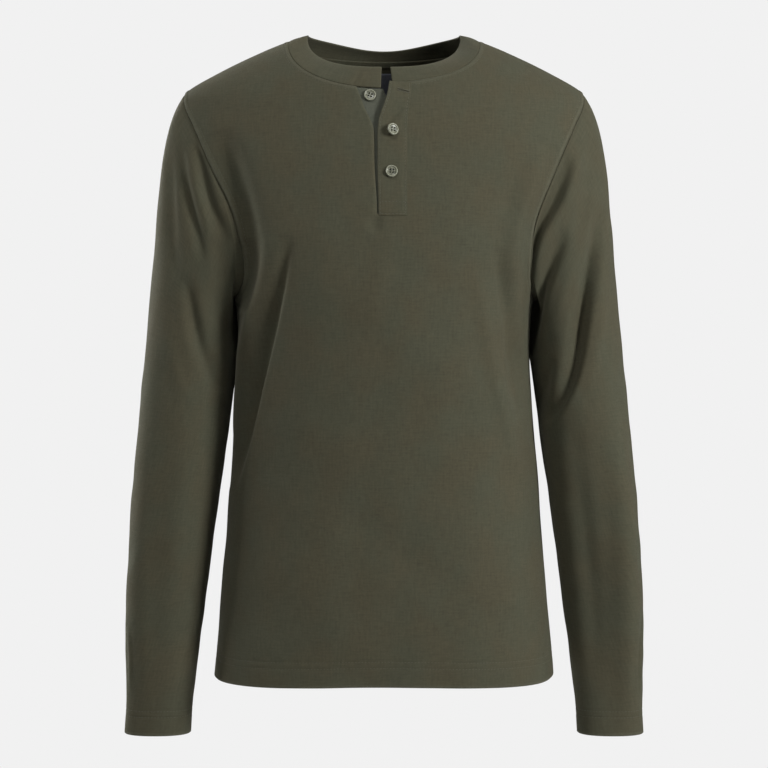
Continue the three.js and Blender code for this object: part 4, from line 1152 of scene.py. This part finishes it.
# Neckband
def band_places(columns):
    first = math.asin(BAND_END_LEFT_X / NECK_HALF_WIDTH)
    last = 2 * math.pi + math.asin(BAND_END_RIGHT_X / NECK_HALF_WIDTH)
    angle = np.linspace(first, last, columns)
    x, z, in_front = neck_seam(angle)
    return swing_at(x, z), z, np.where(in_front, FRONT, BACK)


def band_top(x, face):
    share = np.minimum(1, np.abs(x) / NECK_HALF_WIDTH)
    flat = np.sqrt(1 - share * share)
    front_drop = BAND_TOP_FRONT_DROP * (1 - share**BAND_TOP_SQUARE) ** (1 / BAND_TOP_SQUARE)
    back_drop = BAND_TOP_BACK_DROP * np.cos(QUARTER * share) ** 2
    y = np.where(face == FRONT, -BAND_TOP_FRONT * flat, BAND_TOP_BACK * flat)
    z = -np.where(face == FRONT, front_drop, back_drop)
    return np.stack([np.sign(x) * BAND_TOP_HALF_WIDTH * share, y, z], axis=-1)


def neckband(columns=420, rows=14):
    swing, z, face = band_places(columns)
    foot = on_armhole(body_cloth, swing, z, face)
    foot_in = on_armhole(body_cloth, swing, z, face, -NECK_BAND_CLOTH)
    top = band_top(foot[:, 0], face)
    up = unit(top - foot)
    along = np.gradient(top, axis=0)
    out = unit(np.cross(along, up))
    section = []
    in_front = (face == FRONT)[:, None]
    for r in range(rows + 1):
        t = r / rows
        crease = 1.1 * np.exp(-(((foot[:, :1] + 33 - 8 * t) / 2.6) ** 2)) * math.sin(math.pi * min(1, t + 0.15)) * in_front
        bulge = 1.2 * math.sin(math.pi * t) - 0.6 * SEAM_DIP * math.exp(-((t * 20 / 1.6) ** 2))
        section.append(mix(foot + up * SEAM_GAP, top, t) + out * (bulge - crease))
    half = NECK_BAND_CLOTH / 2
    for r in range(1, 5):
        angle = math.pi * r / 5
        section.append(top - out * half * (1 - math.cos(angle)) + up * half * math.sin(angle))
    for r in range(rows, -1, -1):
        t = r / rows
        base = mix(foot_in + up * SEAM_GAP, top - out * NECK_BAND_CLOTH, t)
        section.append(base + out * 1.2 * math.sin(math.pi * t))
    grid = np.stack(section)
    count, length = grid.shape[:2]
    index = np.arange(count * length).reshape(count, length)
    nxt = np.roll(index, -1, axis=0)
    quads = np.stack([index[:, :-1], nxt[:, :-1], nxt[:, 1:], index[:, 1:]], axis=-1).reshape(-1, 4)
    caps = [index[:, 0], index[::-1, -1]]
    across = np.concatenate([[0], np.cumsum(np.linalg.norm(np.diff(top, axis=0), axis=1))])
    down = np.concatenate([np.linspace(0, 20, rows + 1), np.full(4, 20.8), np.linspace(20, 0, rows + 1)])
    flat = np.stack(np.meshgrid(across, down), axis=-1).reshape(-1, 2)
    # Band's folded top edge painted paler: partly wear, partly painted highlight
    highlight_and_wear = np.exp(-(((flat[:, 1] - 20.4) / 1.6) ** 2)) * 0.8
    piece = make_piece("neck_band", grid.reshape(-1, 3), [*quads, *caps], jersey, flat, highlight_and_wear)
    face_outwards(piece)
    length = np.linalg.norm(np.diff((top + foot) / 2, axis=0), axis=1).sum()
    return piece


band = neckband()


# Placket bands
PRESSED_CLOTH = 0.35
PRESSED_WIDTH = 7


def pressed(x, z):
    """0 where the band is stitched down flat, at its right edge and its foot, and 1 where it is free."""
    inner = np.minimum(OVER_BAND("right", z) - x, z - PLACKET_BOTTOM_Z)
    return smooth(inner / PRESSED_WIDTH)


def over_cloth(x, z):
    return mix(PRESSED_CLOTH, BAND_CLOTH, pressed(x, z))


def over_face(x, z):
    """Height of the over-band's outer face over the front's."""
    left, right = OVER_BAND("left", z), OVER_BAND("right", z)
    curl = OVER_BAND("lift", z) * (1 - np.clip((x - left) / (right - left), 0, 1)) ** 2
    drag = 1.6 * np.exp(-(((x - 10 - (z + 102)) / 4.5) ** 2)) * np.exp(-(((z + 102) / 10) ** 2))
    return 0.12 + mix(PRESSED_CLOTH, 0.9, pressed(x, z)) + curl - drag * pressed(x, z)


def under_face(x, z):
    return -CLOTH_WALL - LAYER_GAP + 0 * x


def band_outline(table, nearest_centre):
    """Outline of a placket band in x and z."""
    def seam_z(x):
        held = np.maximum(1, x) if nearest_centre > 0 else np.minimum(-1, x)
        return neck_seam(np.arcsin(held / NECK_HALF_WIDTH))[1] - PLACKET_TOP_GAP

    def top_corner(column):
        z = -66.0
        for _ in range(8):
            z = float(seam_z(table(column, z)))
        return float(table(column, z)), z

    (left_x, left_z), (right_x, right_z) = top_corner("left"), top_corner("right")
    z_left = np.linspace(left_z, PLACKET_BOTTOM_Z, 80)
    z_right = np.linspace(PLACKET_BOTTOM_Z, right_z, 80)
    x_top = np.linspace(right_x, left_x, 30)
    return {
        "left": evenly(np.stack([table("left", z_left), z_left], axis=1), 1.3),
        "foot": evenly(
            np.array([[table("left", PLACKET_BOTTOM_Z), PLACKET_BOTTOM_Z],
                      [table("right", PLACKET_BOTTOM_Z), PLACKET_BOTTOM_Z]]), 1.3),
        "right": evenly(np.stack([table("right", z_right), z_right], axis=1), 1.3),
        "top": evenly(np.stack([x_top, seam_z(x_top)], axis=1), 1.3),
    }


BUTTONHOLE = {"left": (14.6, -74.0), "right": (25.4, -76.2), "half_gap": 0.45}


def buttonhole_outline():
    a, b = np.array(BUTTONHOLE["left"]), np.array(BUTTONHOLE["right"])
    t = np.linspace(0, 2 * math.pi, 24, endpoint=False)
    along = unit(b - a)
    across = np.array([-along[1], along[0]])
    half = np.linalg.norm(b - a) / 2
    return (a + b) / 2 + half * np.cos(t)[:, None] * along + BUTTONHOLE["half_gap"] * np.sin(t)[:, None] * across


def placket_over():
    edges = band_outline(OVER_BAND, 1)
    outline = joined(edges)
    lines = [inset(edges[key], BAND_STITCH) for key in ("left", "right", "foot")]
    rows = [(line, BAND_STITCH) for line in lines]
    hole = buttonhole_outline()
    box = inset(edges["foot"], BOX_STITCH_RISE)
    rows.append((box, BAND_STITCH))

    def surface(flat, lift=0.0):
        x, z = flat[:, 0], flat[:, 1]
        rise = over_face(x, z) + lift
        for line in [*lines, box]:
            rise = rise - 0.28 * np.exp(-((distance_to(flat, line) / 0.7) ** 2))
        rise = rise - 0.6 * np.exp(-((distance_to(flat, edges["top"]) / 1.2) ** 2))
        slit = np.stack([BUTTONHOLE["left"], BUTTONHOLE["right"]])
        rise = rise + 0.25 * np.exp(-(((distance_to(flat, slit) - 1.4) / 1.0) ** 2))
        return body_cloth(swing_at(x, z), z, FRONT, rise)

    # The folded left edge is painted paler: partly wear, partly painted highlight
    piece = shell(
        "placket_over_band", outline, rows, 1.35, surface, lambda flat: over_cloth(flat[:, 0], flat[:, 1]),
        jersey, lambda flat: np.ones(len(flat)), holes=[hole],
        highlight_wear_mask=lambda flat: 0.5 * np.exp(-((distance_to(flat, edges["left"]) / 1.2) ** 2)),
    )
    along = stitches("placket_over_stitching", [on_surface(surface, line[1:-1]) for line in [*lines, box]], olive_thread)
    a, b = np.array(BUTTONHOLE["left"]), np.array(BUTTONHOLE["right"])
    across = np.array([-(b - a)[1], (b - a)[0]]) / np.linalg.norm(b - a)
    bars = []
    for t in np.linspace(-0.04, 1.04, 30):
        for side in (-1, 1):
            foot = mix(a, b, t) + side * across * 0.35
            bars.append(on_surface(surface, np.stack([foot, foot + side * across * 0.6, foot + side * across * 1.2])))
    edge = stitches("buttonhole_stitching", bars, olive_thread, length=1.0, thread=0.4, gap=0.1)
    return piece, along, edge


def placket_under():
    edges = band_outline(UNDER_BAND, -1)
    outline = joined(edges)
    lines = [inset(edges[key], BAND_STITCH) for key in ("left", "right")]
    rows = [(line, BAND_STITCH) for line in lines]

    def surface(flat, lift=0.0):
        x, z = flat[:, 0], flat[:, 1]
        rise = under_face(x, z) + lift
        for line in lines:
            rise = rise - 0.28 * np.exp(-((distance_to(flat, line) / 0.7) ** 2))
        return body_cloth(swing_at(x, z), z, FRONT, rise)

    piece = shell(
        "placket_under_band", outline, rows, 1.6, surface, lambda flat: np.full(len(flat), BAND_CLOTH),
        inner_jersey, lambda flat: np.ones(len(flat)),
    )
    top = inset(edges["top"], BAND_STITCH)[2:-2]
    thread = stitches("placket_under_stitching", [on_surface(surface, line[1:-1]) for line in [*lines, top]], olive_thread)
    return piece, thread


over_band, over_thread, buttonhole_thread = placket_over()
under_band, under_thread = placket_under()


# Neck tape and label
def neck_tape():
    angle = np.linspace(QUARTER * 1.08, math.pi * 2 - QUARTER * 1.08, 200)
    x, z, _ = neck_seam(angle)
    swing = swing_at(x, z)
    foot = body_point(swing, z, BACK)
    outside = body_cloth(swing, z, BACK)
    top = band_top(outside[:, 0], np.full(len(x), BACK))
    up = unit(top - outside)
    low_z = z - 4 * np.maximum(0.35, np.abs(foot[:, 1]) / 69)
    start = NECK_BAND_CLOTH + LAYER_GAP + 0.15
    layers = []
    for depth in (start, start + TRIM):
        low = body_cloth(swing_at(x, low_z), low_z, BACK, -depth)
        seam = body_cloth(swing, z, BACK, -depth)
        high = seam + up * 3.2
        rows = [mix(low, seam, t) for t in (0, 0.25, 0.5, 0.75)]
        rows += [mix(seam, high, t) for t in (0, 0.33, 0.66, 1)]
        layers.append(rows)
    grid = np.stack([*layers[0], *layers[1][::-1]])
    count, length = grid.shape[:2]
    index = np.arange(count * length).reshape(count, length)
    nxt = np.roll(index, -1, axis=0)
    quads = np.stack([index[:, :-1], nxt[:, :-1], nxt[:, 1:], index[:, 1:]], axis=-1).reshape(-1, 4)
    flat = np.stack(np.meshgrid(np.linspace(0, 200, length), np.linspace(0, 16, count)), axis=-1)
    piece = make_piece(
        "back_neck_tape", grid.reshape(-1, 3), [*quads, index[:, 0], index[::-1, -1]],
        jersey, flat.reshape(-1, 2),
    )
    face_outwards(piece)
    middle = (grid[0] + grid[7]) / 2
    length = np.linalg.norm(np.diff(middle, axis=0), axis=1).sum()
    return piece


LABEL_HALF_WIDTH = 19
LABEL_TOP = -29
LABEL_BOTTOM = -62


def neck_label():
    w, top, low = LABEL_HALF_WIDTH, LABEL_TOP, LABEL_BOTTOM
    corners = np.array([[-w, top], [-w, low], [w, low], [w, top], [-w, top]], float)
    outline = np.concatenate([evenly(np.stack(pair), 1.5)[:-1] for pair in zip(corners, corners[1:])])

    def surface(flat, lift=0.0):
        x, z = flat[:, 0], flat[:, 1]
        depth = CLOTH_WALL + LAYER_GAP + 0.3 + TRIM
        return body_cloth(swing_at(x, z), z, BACK, lift - depth + TRIM)

    piece = shell(
        "bare_neck_label", outline, [], 1.6, surface, lambda flat: np.full(len(flat), TRIM), label_cloth,
        lambda flat: np.ones(len(flat)),
    )
    return piece


tape = neck_tape()
label = neck_label()

# Buttons
BUTTON_HOLE = 0.9
BUTTON_HOLE_RING = 2.0
BUTTON_CLEAR = 0.25
# Radius and height of the button's profile, and how strongly its raised rim is painted paler as a highlight
BUTTON_PROFILE = [
    (0.01, 0, 0), (4.6, 0, 0), (5.4, 0.15, 0.6), (5.95, 0.55, 1), (6.15, 1.0, 1), (6.2, 1.5, 1), (6.1, 2.05, 1),
    (5.8, 2.45, 1), (5.4, 2.6, 1), (5.0, 2.5, 0.9), (4.7, 2.2, 0.4), (4.4, 1.85, 0.05), (4.1, 1.72, 0),
    (3.6, 1.66, 0), (0.01, 1.66, 0),
]
# Place, turn away from the cloth, layer below and turn of the holes
BUTTONS = [
    ("button_top", -14.4, -79.2, 0, "under", 20),
    ("button_middle", 8.4, -117.2, 26, "over", 8),
    ("button_bottom", 7.7, -160, 0, "over", 2),
]


def seat_of(x, z, face_height):
    """Point of the cloth under a button, and the way that the cloth faces there."""
    xs, zs = x + np.array([0, 2, -2, 0, 0]), z + np.array([0, 0, 0, 2, -2])
    points = body_cloth(swing_at(xs, zs), zs, FRONT, face_height(xs, zs))
    return points[0], unit(np.cross(points[1] - points[2], points[3] - points[4]))


def button(name, x, z, turn, seat, hole_turn):
    sides = 64
    angle = np.arange(sides) * 2 * math.pi / sides
    rings = [
        np.stack([r * np.cos(angle), np.full(sides, h), r * np.sin(angle)], axis=1) for r, h, _ in BUTTON_PROFILE
    ]
    index = np.arange(len(BUTTON_PROFILE) * sides).reshape(-1, sides)
    nxt = np.roll(index, -1, axis=1)
    quads = np.stack([index[:-1], nxt[:-1], nxt[1:], index[1:]], axis=-1).reshape(-1, 4)
    faces = [*quads, index[0][::-1], index[-1]]
    # Painted highlight on the raised rim, from the profile's last column
    rim = np.repeat([row[2] for row in BUTTON_PROFILE], sides)
    piece = make_piece(name + "_resin", np.concatenate(rings), faces, resin, highlight_wear_mask=rim)
    face_outwards(piece)
    holes = []
    for k in range(4):
        around = QUARTER * (k + 0.5) + math.radians(hole_turn)
        hole = np.array([math.cos(around), 0, math.sin(around)]) * BUTTON_HOLE_RING
        holes.append(hole)
        bpy.ops.mesh.primitive_cylinder_add(
            vertices=20, radius=BUTTON_HOLE * MM, depth=0.012, rotation=(QUARTER, 0, 0), location=hole * MM
        )
        drill = bpy.context.object
        cut = piece.modifiers.new("hole", "BOOLEAN")
        cut.operation = "DIFFERENCE"
        cut.object = drill
        with bpy.context.temp_override(object=piece, active_object=piece):
            bpy.ops.object.modifier_apply(modifier="hole")
        bpy.data.objects.remove(drill)
    foot, out = seat_of(x, z, over_face if seat == "over" else under_face)
    tilt = math.radians(turn)
    clear = BUTTON_CLEAR + BUTTON_PROFILE[1][0] * math.sin(tilt)
    # Dark thread down through the holes, and wound to a shank between button and cloth
    thread = []
    for hole in holes:
        at = hole + np.outer(np.linspace(-clear, 0.9, 5), [0, 1, 0])
        thread.append((at, np.tile([1.0, 0.0, 0.0], (5, 1))))
    for down in np.linspace(0.15, 1, 4) * clear:
        ring = np.stack([np.cos(angle), 0 * angle, np.sin(angle)], axis=1) * 1.6
        thread.append((ring - [0, down, 0], np.tile([0.0, 1.0, 0.0], (sides, 1))))
    sewing = stitches(name + "_thread", thread, dark_thread, length=1.2, thread=1.1, gap=0.02)
    axis = Vector(out)
    side = axis.cross(Vector((0, 0, 1))).normalized()
    up = side.cross(axis).normalized()
    spin = Matrix.Rotation(tilt, 3, "Z") @ Matrix((side, axis, up)).transposed()
    place = Matrix.Translation(Vector(foot + out * clear) * MM) @ spin.to_4x4()
    for made in (piece, sewing):
        made.data.transform(place)
    return piece, sewing


buttons = {row[0]: button(*row) for row in BUTTONS}

# Bodies and nodes; the finish column of the list is not used
PIECES = [
    (front, "front_body", "jersey"),
    (back, "back_body", "jersey"),
    (left_sleeve, "sleeve_left", "jersey"),
    (right_sleeve, "sleeve_right", "jersey"),
    (band, "neckband", "jersey"),
    (over_band, "placket_over", "jersey"),
    (under_band, "placket_under", "band_jersey"),
    (tape, "neck_tape", "band_jersey"),
    (label, "neck_label", "label_cloth"),
    *((piece, name, "button_resin") for name, (piece, _) in buttons.items()),
]
for piece, node, slot in PIECES:
    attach(piece, "root")
    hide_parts(node)
THREADS = [front_thread, back_thread, left_thread, right_thread, over_thread, buttonhole_thread, under_thread]
THREADS += [sewing for _, sewing in buttons.values()]
for thread in THREADS:
    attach(thread, "root")


# Floor, light and camera
FLOOR_RADIUS = 3.1  # its far edge stays just below the picture
FLOOR_LEVEL = -1.45
BACKDROP = linear(241, 241, 241)
ROOM_LIGHT = 0.09


def floor():
    bpy.ops.mesh.primitive_circle_add(
        vertices=96, radius=FLOOR_RADIUS, fill_type="NGON", location=(0, 0, FLOOR_LEVEL)
    )
    disc = bpy.context.object
    disc.name = "floor"
    material, tree, shader = bare_material("pale_floor")
    grain = put(tree, "ShaderNodeTexNoise", {"Scale": 40.0, "Detail": 4.0}).outputs[0]
    tree.links.new(blend(tree, grain, (0.78, 0.78, 0.78, 1), (0.82, 0.82, 0.82, 1)), shader.inputs["Base Color"])
    shader.inputs["Roughness"].default_value = 0.9
    seen = put(tree, "ShaderNodeLightPath").outputs["Is Camera Ray"]
    shader.inputs["Emission Color"].default_value = (0.74, 0.74, 0.74, 1)
    tree.links.new(seen, shader.inputs["Emission Strength"])
    disc.data.materials.append(material)


def area_light(name, place, aim, width, height, power):
    data = bpy.data.lights.new(name, "AREA")
    data.shape = "RECTANGLE"
    data.size, data.size_y = width, height
    data.energy = power
    lamp = bpy.data.objects.new(name, data)
    lamp.location = place
    lamp.rotation_euler = (Vector(aim) - Vector(place)).to_track_quat("-Z", "Y").to_euler()
    bpy.context.scene.collection.objects.link(lamp)


def studio_room():
    """Pale backdrop that lights the shirt less than it shows."""
    room = bpy.data.worlds.new("studio_room")
    room.use_nodes = True
    tree = room.node_tree
    shown = tree.nodes["Background"]
    shown.inputs["Color"].default_value = BACKDROP
    lit = put(tree, "ShaderNodeBackground", {"Color": BACKDROP, "Strength": ROOM_LIGHT})
    seen = put(tree, "ShaderNodeLightPath").outputs["Is Camera Ray"]
    mixed = put(tree, "ShaderNodeMixShader", {0: seen, 1: lit.outputs[0], 2: shown.outputs[0]})
    tree.links.new(mixed.outputs[0], tree.nodes["World Output"].inputs["Surface"])
    bpy.context.scene.world = room
    bpy.context.scene.view_settings.view_transform = "Standard"


floor()
area_light("key", (1.7, -1.4, 0.3), (0, 0, -0.3), 0.6, 0.8, 47)
area_light("left_rim", (-1.9, 0.25, 0.1), (-0.2, 0, -0.35), 0.4, 1.3, 20)
area_light("right_rim", (1.9, 0.1, 0.1), (0.2, 0, -0.35), 0.3, 1.3, 4)
area_light("neck", (-0.3, -1.0, 1.15), (0, 0.05, -0.03), 0.5, 0.5, 11)
area_light("back", (-1.5, 1.7, 0.5), (0, 0, -0.35), 0.9, 1.2, 30)
studio_room()

CAMERA_DISTANCE = 2.075
CAMERA_LEVEL = -0.3765
camera_data = bpy.data.cameras.new("camera")
camera_data.lens = 90.07
camera_data.sensor_width = 36
camera = bpy.data.objects.new("camera", camera_data)
camera.location = (0, -CAMERA_DISTANCE, CAMERA_LEVEL)
camera.rotation_euler = (QUARTER, 0, 0)
bpy.context.scene.collection.objects.link(camera)
bpy.context.scene.camera = camera
